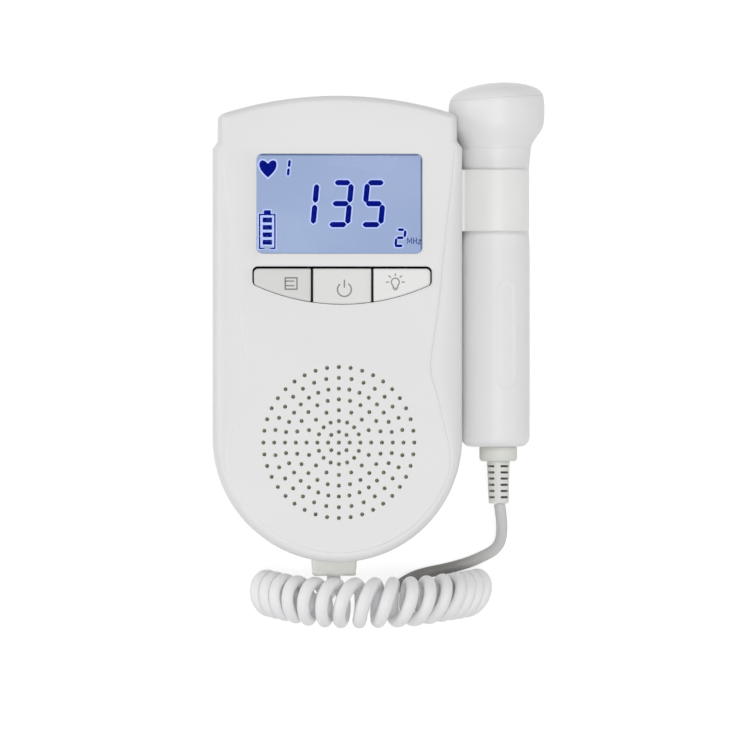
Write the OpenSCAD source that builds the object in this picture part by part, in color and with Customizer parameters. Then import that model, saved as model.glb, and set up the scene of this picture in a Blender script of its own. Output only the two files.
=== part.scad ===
// Hand-held fetal doppler monitor lying on its back, with its probe in the side clip.
// Millimetres. +X is the probe side, +Y runs to the display end, +Z comes out of the front face.
// Shapes are drawn about the casing's own middle line and then shifted to the model's origin,
// which is the bottom centre of the casing with its probe, without the cord.

/* [Casing] */
// Width across the sides
case_w = 72; // [71.6:0.1:72.2]
// Half-width of the narrower display end
top_half_w = 34.5; // [34.2:0.1:34.8]
// Distance from the centre of the round bottom end to the top of the display end
top_y = 99.1; // [98.6:0.1:99.4]
// Radius of the arch across the display end
top_arch_r = 110.5; // [108:0.5:114]
// Height of the front face above the table
front_z = 33.6; // [33.4:0.1:33.8]
// Height of the joint between the two shells
split_z = 18; // [17.8:0.1:18.2]
// Wall thickness of the two shells
wall = 2; // [1.9:0.05:2.1]

/* [Display] */
// Width of the display window
window_w = 48.4; // [47:0.1:48.6]
// Height of the display window
window_h = 29; // [28:0.1:29.2]
// Height of the window's centre up the face
window_y = 67.9; // [67.7:0.1:68.1]

/* [Keys] */
// Overall width of the row of three keys
keys_w = 51.8; // [50:0.1:52]
// Straight upper edge of the row of keys
keys_top_y = 49.6; // [49.4:0.1:49.8]
// Lowest point of the curved lower edge
keys_low_y = 38.6; // [38.4:0.1:38.8]
// Radius of the curved lower edge
keys_arc_r = 60.7; // [58:0.1:64]
// Distance of the row's centre from the casing's middle line
keys_x = 0.95; // [0.8:0.05:1.1]
// Gap between a key and the casing, and between two keys
key_gap = 0.35; // [0.3:0.01:0.4]
// How far a key stands out of the face
key_proud = 0.6; // [0.4:0.05:0.8]

/* [Speaker] */
// Radius of one sound hole
hole_r = 0.58; // [0.5:0.01:0.6]
// Distance from one ring of sound holes to the next
ring_pitch = 3.11; // [3.05:0.01:3.15]
// Distance of the grille's centre from the centre of the round end
grille_y = -1.2; // [-1.4:0.1:-1]

/* [Probe] */
// Distance of the probe's axis from the casing's middle line
probe_x = 46.3; // [46.2:0.05:46.4]
// Height of the probe's axis above the table
probe_z = 16; // [15.9:0.05:16.1]
// Radius of the handle
handle_r = 10; // [9.9:0.05:10]
// Radius of the head
head_r = 13.95; // [13.8:0.05:14]
// Radial clearance between the handle and its clip
clip_gap = 0.25; // [0.2:0.05:0.25]
// Lower end of the clip
clip_y0 = 59.9; // [59.8:0.1:60]
// Upper end of the clip
clip_y1 = 77.8; // [77.7:0.1:77.9]

/* [Cord] */
// Diameter of the straight lead
lead_d = 3.3; // [3:0.1:3.3]
// Outer diameter of the curled part
curl_d = 14.6; // [14:0.1:14.6]

/* [Hidden] */

rear_z = 0.8;                 // the rear face stands on feet this high
shift = [-12.125, -33.7, 0];  // from the middle line to the model's origin
r0 = case_w / 2;
step_y = 85.3;                // where the casing narrows to the display end
arch_cy = top_y - top_arch_r;
face_in = front_z - wall;     // inner side of the front wall
key_travel = 0.8;
key_top = front_z + key_proud;
scallop_r = head_r + 0.4;
pocket_r = handle_r + clip_gap + 1.95 + 0.2;
holes_in_ring = [1, 8, 16, 16, 24, 32, 32, 40];
shell_screw_at = [[-19, -23.5], [19, -23.5], [-27.5, 36], [27.5, 36], [-24, 88], [24, 88]];
board_screw_at = [[-29, 52], [29, 52], [-28.8, 79], [28.8, 79]];
foot_at = [[-22, -11], [22, -11], [-26, 77], [26, 77]];
clip_screw_at = [[64.5, 9.8], [73.5, 9.8], [64.5, 22.2], [73.5, 22.2]];
wheel_at = [-28.9, 13];
jack_at = [25.5, 9.6];
cell_x = 8;
cell_z = 10.7;
cell_r = 7.1;
plug_x = -0.2;

// The lead's route: from the strain relief down to the table and under the curls
lead_way = [[47, -19.1, 16], [47, -19.8, 16], [47, -20.6, 16], [47.2, -22.6, 15.5], [47.7, -25, 14], [47.8, -28, 11.2], [47.3, -30.5, 8],
            [45.8, -32.6, 5], [43, -34.1, 2.9], [39.5, -35.6, 1.9], [36, -36.9, 1.7], [32, -38.1, 1.7],
            [27.5, -39.2, 1.7], [23, -40.4, 1.7], [19, -41.8, 1.7], [15.6, -44, 1.7], [14, -47, 1.7],
            [15, -50.2, 1.7], [18, -52.3, 1.7], [22, -52.8, 1.7], [26, -52.6, 1.7], [29.8, -51.9, 1.7],
            [33, -50.9, 1.7], [35.4, -49.4, 1.7], [36.4, -47.6, 1.8], [36.5, -45.5, 2]];
// The tail's route: from the plug down to the table and under the curls to their left end
tail_way = [[-0.2, -42, 4.2], [-0.4, -43.8, 3.5], [-1.4, -45.8, 2.3], [-3.6, -46.9, 1.8], [-7, -47, 1.7],
            [-10.6, -46.2, 1.7], [-13.6, -45.4, 1.8], [-15.6, -46.3, 2], [-16.8, -48.4, 2.8]];
// The curls' middle line: an arch that stands on its two ends
curl_way = [[-20.5, -45.7, 5.5], [-18, -46.2, 8], [-15, -46.6, 10.4], [-12, -46.9, 12.4], [-8, -47.3, 14.2], [-3, -47.4, 15.2],
            [3, -47.4, 15.3], [10, -47.4, 15.3], [17, -47.4, 15.3], [23, -47.4, 15.3], [28, -47.2, 14.4], [32, -46.9, 12.6],
            [35, -46.4, 10.7], [38, -45.9, 8.3], [40.6, -45.5, 5.8]];

// --- shared shapes ---

module placed() { translate(shift) children(); }
module probe_turn() { translate([probe_x, 0, probe_z]) rotate([-90, 0, 0]) children(); }

function quarter(cx, cz, rx, rz, a0, a1, n = 6) = [for (i = [0:n]) let (a = a0 + (a1 - a0) * i / n) [cx + rx * cos(a), cz + rz * sin(a)]];
// One side of the casing's section, drawn in by i
function side_of(w, i) = concat(
    quarter(w - 5.2, rear_z + 5.6, 4.6 - i, 5.6 - i, -90, 0),
    [[w - i, split_z]],
    quarter(w - 3.15, front_z - 4.4, 3 - i, 4.4 - i, 0, 90));
function section_of(w, i) = let (s = side_of(w, i)) concat(s, [for (k = [len(s) - 1:-1:0]) [-s[k][0], s[k][1]]]);
function half_section_of(w, i) = concat([[0, rear_z + i]], side_of(w, i), [[0, front_z - i]]);

module run_along_y(y0, y1) { rotate([90, 0, 0]) translate([0, 0, -y1]) linear_extrude(y1 - y0) children(); }

// The casing as one solid, drawn in by i
module case_solid(i = 0) {
    intersection() {
        union() {
            rotate([0, 0, 180]) rotate_extrude(angle = 180, $fn = 120) polygon(half_section_of(r0, i));
            run_along_y(0, step_y - i) polygon(section_of(r0, i));
            run_along_y(0, 110) polygon(section_of(top_half_w, i));
        }
        translate([0, arch_cy, 0]) rotate_extrude($fn = 180) polygon(half_section_of(top_arch_r, i));
    }
}
// Room in the casing's side for the probe's head and for the clip
module side_room(grow = 0) {
    probe_turn() translate([0, 0, 83 - grow]) cylinder(r = scallop_r + grow, h = 40, $fn = 96);
    probe_turn() translate([0, 0, clip_y0 - 0.2 - grow]) cylinder(r = pocket_r + grow, h = clip_y1 - clip_y0 + 0.4 + 2 * grow, $fn = 96);
    translate([34.4 - grow, clip_y0 - 0.2 - grow, 8 - grow]) cube([10, clip_y1 - clip_y0 + 0.4 + 2 * grow, 16 + 2 * grow]);
}
// Thumb recess in the left side, beside the volume wheel
module thumb_room(grow = 0) {
    translate([-48.2, wheel_at[1], 4.4 - grow]) cylinder(r = 14 + grow, h = 10.6 + 2 * grow, $fn = 96);
}
module hollow_case() {
    difference() {
        case_solid(0);
        difference() { case_solid(wall); side_room(1.8); thumb_room(1.8); }
        side_room(0);
        thumb_room(0);
    }
}
module upper_half() { intersection() { children(); translate([-60, -60, split_z]) cube([120, 220, 40]); } }
module lower_half() { intersection() { children(); translate([-60, -60, -5]) cube([120, 220, split_z + 5]); } }

// The row of keys as one block, drawn in by g
module keys_block(g, z0, z1, grow_y = 0) {
    intersection() {
        translate([keys_x - keys_w / 2 + g, keys_low_y - 2, z0]) cube([keys_w - 2 * g, keys_top_y - keys_low_y + 2 - g + grow_y, z1 - z0]);
        translate([keys_x, keys_low_y + keys_arc_r, z0]) cylinder(r = keys_arc_r - g + grow_y, h = z1 - z0, $fn = 180);
    }
}
module key(x0, x1) {
    intersection() {
        union() {
            keys_block(key_gap, face_in - 0.5, key_top);
            keys_block(0.5, face_in - 1.3, face_in - 0.3, 1.4);
        }
        translate([x0, 20, 0]) cube([x1 - x0, 50, 60]);
    }
}

// Tube swept along points, with rings of n sides
function unit3(v) = v / norm(v);
function ring_at(p, t, r, n) = let (a = unit3(cross(t, [0.02, 0.03, 1])), b = cross(a, unit3(t))) [for (k = [0:n - 1]) p + r * (a * cos(360 * k / n) + b * sin(360 * k / n))];
function between(p, k, s) = let (a = p[max(k - 1, 0)], b = p[k], c = p[k + 1], d = p[min(k + 2, len(p) - 1)])
    0.5 * ((2 * b) + (c - a) * s + (2 * a - 5 * b + 4 * c - d) * s * s + (3 * b - a - 3 * c + d) * s * s * s);
function smooth_way(p, m) = [for (k = [0:len(p) - 2], j = [0:m - 1]) between(p, k, j / m), p[len(p) - 1]];
module swept(p, r, n) {
    last = len(p) - 1;
    rings = [for (i = [0:last]) each ring_at(p[i], i == 0 ? p[1] - p[0] : i == last ? p[last] - p[last - 1] : p[i + 1] - p[i - 1], r, n)];
    sides = [for (i = [0:last - 1], k = [0:n - 1]) [i * n + k, i * n + (k + 1) % n, (i + 1) * n + (k + 1) % n, (i + 1) * n + k]];
    polyhedron(points = rings, faces = concat([[for (k = [n - 1:-1:0]) k]], sides, [[for (k = [0:n - 1]) last * n + k]]), convexity = 6);
}

// --- casing ---

module front_shell() {
    placed() color([0.9, 0.9, 0.89]) difference() {
        union() {
            upper_half() hollow_case();
            for (p = shell_screw_at) translate([p[0], p[1], split_z]) cylinder(r = 3.2, h = face_in + 0.3 - split_z, $fn = 48);
            for (p = board_screw_at) translate([p[0], p[1], 25.8]) cylinder(r = 1.9, h = face_in + 0.3 - 25.8, $fn = 40);
        }
        translate([-window_w / 2, window_y - window_h / 2, 30]) cube([window_w, window_h, 8]);
        keys_block(0, 30, 40);
        for (k = [0:7], i = [0:holes_in_ring[k] - 1])
            translate([ring_pitch * k * sin(360 * i / holes_in_ring[k]), grille_y + ring_pitch * k * cos(360 * i / holes_in_ring[k]), 30])
                cylinder(r = hole_r, h = 8, $fn = 24);
        for (p = shell_screw_at) translate([p[0], p[1], split_z - 1]) cylinder(r = 1, h = 9.4, $fn = 32);
        for (p = board_screw_at) translate([p[0], p[1], 24]) cylinder(r = 0.75, h = 5.6, $fn = 32);
        for (p = clip_screw_at) if (p[1] > split_z) translate([30, p[0], p[1]]) rotate([0, 90, 0]) cylinder(r = 1.05, h = 8, $fn = 32);
    }
}

module rear_shell() {
    placed() color([0.88, 0.88, 0.87]) difference() {
        union() {
            lower_half() hollow_case();
            // posts for the casing screws
            for (p = shell_screw_at) translate([p[0], p[1], 1.4]) cylinder(r = 3.6, h = split_z - 1.4, $fn = 48);
            // battery box, drawn as four walls and a roof
            intersection() {
                difference() {
                    translate([-19, 36.1, 3.4]) cube([38, 59.8, 16.5]);
                    translate([-17.5, 37.6, 0]) cube([35, 56.8, 18.4]);
                }
                case_solid(0.5);
            }
            // rails for the battery door
            intersection() {
                for (s = [-1, 1]) translate([s > 0 ? 18.8 : -22.5, 34, 1]) cube([3.7, 70, 3.2]);
                case_solid(0.05);
            }
            // posts for the small side board
            for (y = [9.5, 28]) translate([-22.4, y, 2]) cylinder(r = 1.6, h = 3, $fn = 32);
        }
        for (p = shell_screw_at) translate([p[0], p[1], 0]) { cylinder(r = 2.7, h = 10, $fn = 40); cylinder(r = 1.3, h = 30, $fn = 32); }
        for (p = foot_at) translate([p[0], p[1], 0]) cylinder(r = 3.6, h = 1.3, $fn = 48);
        // opening and side slots for the battery door
        translate([-18.8, 34.8, 0]) cube([37.6, 80, 3.3]);
        translate([-20.6, 34.8, 1.7]) cube([41.2, 80, 1.6]);
        // slot for the volume wheel, and the ring of the headphone jack
        translate([wheel_at[0], wheel_at[1], 8.1]) cylinder(r = 7.1, h = 3.2, $fn = 96);
        translate([-45, jack_at[0], jack_at[1]]) rotate([0, 90, 0]) cylinder(r = 3.1, h = 15, $fn = 48);
        // mouth for the probe's plug
        translate([plug_x - 6.8, -45, 2]) cube([13.6, 23.5, 8.5]);
        for (p = clip_screw_at) if (p[1] < split_z) translate([30, p[0], p[1]]) rotate([0, 90, 0]) cylinder(r = 1.05, h = 8, $fn = 32);
    }
}

module battery_door() {
    placed() color([0.88, 0.88, 0.87]) difference() {
        intersection() {
            union() {
                translate([-18.5, 35, 0]) cube([37, 80, 3.1]);
                translate([-20.3, 35, 1.9]) cube([40.6, 80, 1.2]);
            }
            case_solid(0);
        }
        // finger grooves
        for (k = [0:5]) translate([-8, 78 + 2.2 * k, 0]) cube([16, 1.1, 1.2]);
    }
}

module rubber_feet() {
    placed() color([0.35, 0.35, 0.36]) for (p = foot_at) translate([p[0], p[1], 0]) cylinder(r = 3.5, h = 1.3, $fn = 48);
}

module screw(head_r, head_h, shank_r, shank_h) {
    difference() {
        union() { cylinder(r = head_r, h = head_h, $fn = 40); cylinder(r = shank_r, h = head_h + shank_h, $fn = 32); }
        translate([-head_r * 0.6, -0.25, -0.1]) cube([head_r * 1.2, 0.5, 0.7]);
        translate([-0.25, -head_r * 0.6, -0.1]) cube([0.5, head_r * 1.2, 0.7]);
    }
}
module shell_screws() { placed() color([0.7, 0.7, 0.72]) for (p = shell_screw_at) translate([p[0], p[1], 8.2]) screw(2.4, 1.8, 0.98, 15.5); }
module board_screws() { placed() color([0.7, 0.7, 0.72]) for (p = board_screw_at) translate([p[0], p[1], 23]) screw(1.5, 1, 0.72, 5); }
module clip_screws() { placed() color([0.7, 0.7, 0.72]) for (p = clip_screw_at) translate([31.1, p[0], p[1]]) rotate([0, 90, 0]) screw(1.7, 1.4, 0.9, 4.3); }

// --- display ---

module lcd_window() {
    placed() color([0.75, 0.82, 0.95, 0.4]) {
        translate([-window_w / 2 + 0.2, window_y - window_h / 2 + 0.2, face_in - 0.1]) cube([window_w - 0.4, window_h - 0.4, 1.5]);
        translate([-25.4, window_y - 15.7, face_in - 0.8]) cube([50.8, 31.4, 0.75]);
    }
}
module lcd_panel() { placed() color([0.6, 0.7, 0.88]) translate([-25.6, window_y - 15.6, 28.2]) cube([51.2, 31.2, 2.2]); }
module lcd_backlight() { placed() color([0.85, 0.92, 1]) translate([-25.2, window_y - 15.4, 25.9]) cube([50.4, 30.8, 2.2]); }
module lcd_frame() {
    placed() color([0.93, 0.93, 0.93]) difference() {
        translate([-26.8, window_y - 16.8, 25.7]) cube([53.6, 33.6, 4.9]);
        translate([-25.7, window_y - 15.7, 25]) cube([51.4, 31.4, 8]);
    }
}
// One bar of a digit: a flat hexagon from a to b of width w, leaning over by s
function lean(p, s) = [p[0] + p[1] * s, p[1]];
function bar_of(a, b, w, s) = let (d = (b - a) / norm(b - a), q = [-d[1], d[0]] * w / 2, e = d * w / 2)
    [lean(a, s), lean(a + e + q, s), lean(b - e + q, s), lean(b, s), lean(b - e - q, s), lean(a + e - q, s)];
// Bars a to g of a digit of width w and height h
function bars(w, h) = [[[0, h], [w, h]], [[w, h], [w, h / 2]], [[w, h / 2], [w, 0]], [[0, 0], [w, 0]], [[0, 0], [0, h / 2]], [[0, h / 2], [0, h]], [[0, h / 2], [w, h / 2]]];
module digit(which, w, h, t) {
    b = bars(w, h);
    for (k = which) let (m = (b[k][0] + b[k][1]) / 2) linear_extrude(0.1) polygon(bar_of(m + (b[k][0] - m) * 0.9, m + (b[k][1] - m) * 0.9, t, 0.096));
}
module lcd_segments() {
    placed() color([0.05, 0.12, 0.53]) translate([0, 0, 30.4]) {
        translate([-9.2, 62.2, 0]) digit([1, 2], 2.2, 11.2, 1.5);
        translate([-1.6, 62.2, 0]) digit([0, 1, 2, 3, 6], 5, 11.2, 1.5);
        translate([8.3, 62.2, 0]) digit([0, 2, 3, 5, 6], 5, 11.2, 1.5);
        translate([17.2, 55.9, 0]) digit([0, 1, 3, 4, 6], 2.5, 4.7, 0.7);
        translate([-15.2, 76.3, 0]) digit([1, 2], 0.6, 4.2, 0.8);
        // battery sign
        difference() {
            translate([-23.1, 54.9, 0]) cube([4.8, 9.8, 0.1]);
            translate([-22.7, 55.3, -1]) cube([4, 9, 3]);
        }
        translate([-21.7, 64.8, 0]) cube([2, 0.9, 0.1]);
        for (k = [0:3]) translate([-22.1, 56 + 2.1 * k, 0]) cube([2.8, 1.5, 0.1]);
        // heart sign
        translate([-20.6, 78.2, 0]) {
            for (s = [-1, 1]) translate([s * 1.2, 0.9, 0]) cylinder(r = 1.45, h = 0.1, $fn = 32);
            linear_extrude(0.1) polygon([[-2.5, 0.3], [0, -2.8], [2.5, 0.3], [1, 1], [-1, 1]]);
        }
    }
}

// --- keys ---

module menu_button() { placed() color([0.86, 0.86, 0.84]) key(keys_x - 40, keys_x - 8.7 - key_gap); }
module power_button() { placed() color([0.88, 0.88, 0.87]) key(keys_x - 8.7 + key_gap, keys_x + 8.7 - key_gap); }
module light_button() { placed() color([0.91, 0.91, 0.9]) key(keys_x + 8.7 + key_gap, keys_x + 40); }
module keypad_mat() {
    placed() color([0.12, 0.12, 0.13]) {
        difference() {
            translate([keys_x - 26, 36.6, 28.1]) cube([52, 14, 0.9]);
            for (s = [-1, 1]) translate([s * 27.5, 36, 27]) cylinder(r = 3.6, h = 4, $fn = 48);
        }
        for (x = [-17.3, 0, 17.3]) translate([keys_x + x, 44.2, 28.9]) cylinder(r = 2.4, h = 0.5, $fn = 40);
    }
}
module tact_switches() {
    placed() color([0.25, 0.25, 0.27]) for (x = [-17.3, 0, 17.3]) {
        translate([keys_x + x - 3, 41.2, 25.6]) cube([6, 6, 1.9]);
        translate([keys_x + x, 44.2, 27.5]) cylinder(r = 1.6, h = 0.5, $fn = 32);
    }
}

// --- boards ---

module main_board() {
    placed() color([0.1, 0.4, 0.25]) difference() {
        union() {
            translate([-31, 41, 24]) cube([62, 42.5, 1.6]);
            translate([-23, 32, 24]) cube([46, 10, 1.6]);
        }
        for (p = board_screw_at) translate([p[0], p[1], 20]) cylinder(r = 0.85, h = 10, $fn = 32);
        for (s = [-1, 1]) translate([s * 24, 88, 20]) cylinder(r = 5.2, h = 10, $fn = 48);
    }
}
module board_chips() {
    placed() color([0.12, 0.12, 0.13]) {
        translate([-16, 58, 22.4]) cube([10, 10, 1.6]);
        translate([4, 60, 22.5]) cube([7, 5, 1.5]);
        translate([-14, 36, 22.6]) cube([5, 4, 1.4]);
        translate([12, 46, 22.2]) cylinder(r = 2.5, h = 1.8, $fn = 32);
        translate([20, 36, 21]) cylinder(r = 2, h = 3, $fn = 32);
        for (k = [0:5]) translate([-27 + 2.2 * k, 48, 23.3]) cube([1.2, 2, 0.7]);
    }
}
module side_board() {
    placed() color([0.1, 0.4, 0.25]) translate([-31.8, 6, 5]) cube([11.3, 24, 1.2]);
}
module volume_pot() {
    placed() color([0.2, 0.2, 0.22]) {
        translate([wheel_at[0] - 2.9, wheel_at[1] - 3.7, 6.2]) cube([6.6, 7.4, 1.7]);
        translate([wheel_at[0], wheel_at[1], 7.9]) cylinder(r = 1.3, h = 3.5, $fn = 40);
    }
}
module volume_wheel() {
    placed() color([0.45, 0.46, 0.48]) translate([wheel_at[0], wheel_at[1], 8.4]) difference() {
        cylinder(r = 6.6, h = 2.6, $fn = 96);
        translate([0, 0, -1]) cylinder(r = 1.36, h = 5, $fn = 40);
        for (k = [0:23]) rotate([0, 0, 15 * k]) translate([6.85, 0, -1]) cylinder(r = 0.5, h = 5, $fn = 16);
    }
}
module headphone_jack() {
    placed() color([0.18, 0.18, 0.2]) difference() {
        union() {
            translate([-33.2, jack_at[0] - 3.4, jack_at[1] - 3.2]) cube([12.2, 6.8, 6.4]);
            translate([-35.4, jack_at[0], jack_at[1]]) rotate([0, 90, 0]) cylinder(r = 3, h = 4, $fn = 48);
        }
        translate([-36, jack_at[0], jack_at[1]]) rotate([0, 90, 0]) cylinder(r = 1.8, h = 13.6, $fn = 40);
    }
}
module probe_socket() {
    placed() color([0.85, 0.85, 0.83]) difference() {
        translate([plug_x - 8.4, -29.8, 2.9]) cube([16.8, 10.2, 10]);
        translate([plug_x - 6.7, -40, 2.1]) cube([13.4, 18.5, 8.3]);
    }
}

// --- speaker ---

module speaker_turn() { translate([0, grille_y, 0]) rotate_extrude($fn = 96) children(); }
module speaker_frame() {
    placed() color([0.55, 0.56, 0.58]) speaker_turn()
        polygon([[22.6, 31], [25, 31], [25, 29.6], [22.8, 29.4], [14.4, 20], [9, 20], [9, 21.2], [13.8, 21.2], [21.6, 29.8]]);
}
module speaker_cone() {
    placed() color([0.15, 0.15, 0.16]) speaker_turn()
        polygon([[22, 30.8], [22, 30.5], [20.4, 29.9], [7.4, 23.4], [0, 24.6], [0, 25], [7.4, 23.9], [20.2, 30.4]]);
}
module speaker_magnet() {
    placed() color([0.35, 0.35, 0.37]) speaker_turn()
        polygon([[0, 13.4], [13.6, 13.4], [13.6, 19.9], [6.8, 19.9], [6.8, 15.4], [6, 15.4], [6, 21], [0, 21]]);
}
module grille_cloth() {
    placed() color([0.42, 0.42, 0.34]) translate([0, grille_y, 31.1]) cylinder(r = 23.8, h = 0.45, $fn = 96);
}

// --- batteries ---

module cell() {
    rotate([-90, 0, 0]) { cylinder(r = cell_r, h = 49.5, $fn = 64); cylinder(r = 2.75, h = 50.4, $fn = 40); }
}
module batteries() {
    placed() color([0.35, 0.45, 0.55]) {
        translate([-cell_x, 43.2, cell_z]) cell();
        translate([cell_x, 88.8, cell_z]) rotate([0, 0, 180]) cell();
    }
}
module spring_at(x, y0) {
    swept([for (k = [0:48]) let (a = 22.5 * k, r = 3.4 - 1.2 * k / 48) [x + r * cos(a), y0 + 0.6 + 3.9 * k / 48, cell_z + r * sin(a)]], 0.3, 6);
}
module battery_springs() {
    placed() color([0.8, 0.8, 0.82]) {
        spring_at(-cell_x, 37.9);
        translate([0, 183.6 - 51.7, 0]) mirror([0, 1, 0]) spring_at(cell_x, 37.9);
    }
}
module battery_contacts() {
    placed() color([0.85, 0.83, 0.75]) {
        for (s = [-1, 1]) translate([s * cell_x - 5, 37.7, 6]) cube([10, 0.4, 10]);
        translate([-cell_x - 5, 93.9, 6]) cube([cell_x * 2 + 10, 0.4, 10]);
    }
}

// --- clip ---

module probe_clip() {
    placed() color([0.9, 0.9, 0.89]) difference() {
        union() {
            probe_turn() translate([0, 0, clip_y0]) cylinder(r = handle_r + clip_gap + 1.95, h = clip_y1 - clip_y0, $fn = 96);
            translate([34.6, clip_y0, 8.2]) cube([4, clip_y1 - clip_y0, 15.6]);
        }
        probe_turn() cylinder(r = handle_r + clip_gap, h = 120, $fn = 96);
        // mouth, open towards +X
        probe_turn() linear_extrude(120) polygon([[0, 0], [20, -20], [20, 20]]);
        for (p = clip_screw_at) translate([30, p[0], p[1]]) rotate([0, 90, 0]) cylinder(r = 0.93, h = 7, $fn = 32);
    }
}

// --- probe ---

module probe_handle() {
    placed() color([0.91, 0.91, 0.91]) difference() {
        probe_turn() rotate_extrude($fn = 96)
            polygon(concat([[2.3, 1.2], [2.3, -2.6]], quarter(handle_r - 3, 0.4, 3, 3, -90, 0),
                [[handle_r, 56], [handle_r - 0.25, 60], [handle_r - 0.25, 78], [handle_r + 0.2, 82], [handle_r + 0.3, 83.8], [8.5, 83.8], [8.5, 3], [6, 1.2]]));
        // shallow label recess, left bare
        translate([probe_x, 0, probe_z]) rotate([0, 15, 0]) translate([0, 0, 9.35]) {
            for (y = [17.1, 43]) translate([0, y, 0]) cylinder(r = 2.8, h = 3, $fn = 48);
            translate([-2.8, 17.1, 0]) cube([5.6, 25.9, 3]);
        }
    }
}
module head_seal() { placed() color([0.85, 0.86, 0.86]) probe_turn() rotate_extrude($fn = 96) translate([8.6, 83.85]) square([1.6, 0.5]); }
module probe_head() {
    placed() color([0.91, 0.91, 0.91]) probe_turn() rotate_extrude($fn = 96)
        polygon([[6.8, 79.5], [8.2, 79.5], [8.2, 84.4], [10.35, 84.4], [10.4, 84.8], [13.3, 90], [13.8, 91.2], [head_r, 93], [head_r, 98.6],
            [12.3, 98.6], [12.3, 91.6], [8.6, 86], [6.8, 86]]);
}
module probe_face() {
    placed() color([0.9, 0.9, 0.9]) probe_turn() rotate_extrude($fn = 96)
        polygon(concat([[0, 101.4], [10, 100.4], [12.2, 99.7], [12.2, 98.65], [head_r, 98.65]],
            quarter(head_r - 2.2, 99.6, 2.2, 2.2, 0, 80, 5), [[9, 102.5], [6, 103], [3, 103.3], [0, 103.4]]));
}
module crystal_carrier() {
    placed() color([0.3, 0.32, 0.35]) probe_turn() rotate_extrude($fn = 72) polygon([[1.5, 95], [11.9, 95], [11.9, 99.3], [10.4, 99.3], [10.4, 97.4], [1.5, 97.4]]);
}
module piezo_crystals() {
    placed() color([0.75, 0.72, 0.6]) for (s = [0, 1]) probe_turn() rotate([0, 0, 180 * s]) intersection() {
        translate([0, 0, 98.2]) cylinder(r = 10.1, h = 1.1, $fn = 72);
        translate([0.5, -12, 90]) cube([12, 24, 20]);
    }
}
module probe_board() {
    placed() color([0.1, 0.4, 0.25]) {
        translate([probe_x - 6, 22, probe_z - 0.6]) cube([12, 52, 1.2]);
        translate([probe_x - 3, 40, probe_z + 0.6]) cube([6, 6, 1.4]);
        translate([probe_x - 2.5, 56, probe_z + 0.6]) cube([5, 4, 1.2]);
    }
}
module relief_collar() {
    placed() color([0.9, 0.9, 0.88]) probe_turn() rotate_extrude($fn = 72)
        polygon([[2.3, -2.65], [2.3, -6.8], [4.9, -6.8], [5.65, -5.9], [5.65, -2.65]]);
}
module strain_relief() {
    placed() color([0.9, 0.9, 0.87]) difference() {
        probe_turn() rotate_extrude($fn = 72)
            polygon([[0, -19.1], [3.1, -19.1], [3.3, -18.8], [3.85, -6.85], [2.2, -6.85], [2.2, 1.4], [4.4, 1.4], [4.4, 2.8], [0, 2.8]]);
        // bending slots in two columns, front and back
        for (k = [0:5], s = [-1, 1], f = [-1, 1])
            translate([probe_x + 0.3 + s * 2.65 - 1.75, -8.5 - 1.8 * k, f > 0 ? probe_z + 2 : probe_z - 6]) cube([3.5, 0.6, 4]);
    }
}

// --- cord ---

module cord_plug() {
    placed() color([0.82, 0.83, 0.8]) {
        translate([plug_x, 0, 2.2]) linear_extrude(8) polygon([[-6.5, -22], [6.5, -22], [6.5, -36.5], [6.2, -40.2], [-6.2, -40.2], [-6.5, -36.5]]);
        translate([plug_x, -40.2, 4.2]) rotate([90, 0, 0]) cylinder(r = 2, h = 1.8, $fn = 48);
    }
}
module cord_tail() { placed() color([0.85, 0.85, 0.86]) swept(smooth_way(tail_way, 2), lead_d / 2, 8); }
module cord_lead() { placed() color([0.72, 0.72, 0.74]) swept(smooth_way(lead_way, 2), lead_d / 2, 8); }
module cord_coil() { placed() color([0.87, 0.87, 0.88]) swept(curl_way, curl_d / 2, 16); }

front_shell();
rear_shell();
lcd_window();
lcd_panel();
lcd_segments();
lcd_backlight();
lcd_frame();
keypad_mat();
tact_switches();
main_board();
board_chips();
board_screws();
shell_screws();
speaker_frame();
speaker_cone();
speaker_magnet();
grille_cloth();
batteries();
battery_springs();
battery_contacts();
battery_door();
probe_clip();
clip_screws();
side_board();
volume_pot();
volume_wheel();
headphone_jack();
probe_socket();
rubber_feet();
menu_button();
power_button();
light_button();
probe_handle();
probe_head();
probe_face();
head_seal();
crystal_carrier();
piezo_crystals();
probe_board();
relief_collar();
strain_relief();
cord_plug();
cord_tail();
cord_coil();
cord_lead();
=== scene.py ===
"""Hand-held fetal doppler monitor: casing, lit display, keys, wand probe in its clip, curly cord.

Shapes are drawn in millimetres about the casing's own middle line, as in the construction, and
then brought into the shared frame in metres.
"""
import math

import bpy
import bmesh
from mathutils import Matrix, Vector
from mathutils.geometry import delaunay_2d_cdt


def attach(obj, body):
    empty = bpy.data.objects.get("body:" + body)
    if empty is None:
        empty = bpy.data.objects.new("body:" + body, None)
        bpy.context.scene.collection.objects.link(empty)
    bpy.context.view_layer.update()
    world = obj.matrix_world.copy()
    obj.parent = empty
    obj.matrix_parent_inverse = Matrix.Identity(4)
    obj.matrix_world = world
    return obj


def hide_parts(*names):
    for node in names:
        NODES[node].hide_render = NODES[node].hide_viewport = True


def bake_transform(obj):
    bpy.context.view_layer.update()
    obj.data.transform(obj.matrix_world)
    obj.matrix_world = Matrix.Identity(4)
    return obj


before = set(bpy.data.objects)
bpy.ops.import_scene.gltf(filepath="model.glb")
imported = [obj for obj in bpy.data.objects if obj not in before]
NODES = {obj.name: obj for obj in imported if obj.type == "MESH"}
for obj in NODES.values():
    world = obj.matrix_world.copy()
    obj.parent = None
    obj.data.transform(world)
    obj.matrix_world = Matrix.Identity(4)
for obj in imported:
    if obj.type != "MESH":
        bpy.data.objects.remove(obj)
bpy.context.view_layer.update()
SCN = bpy.context.scene

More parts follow.
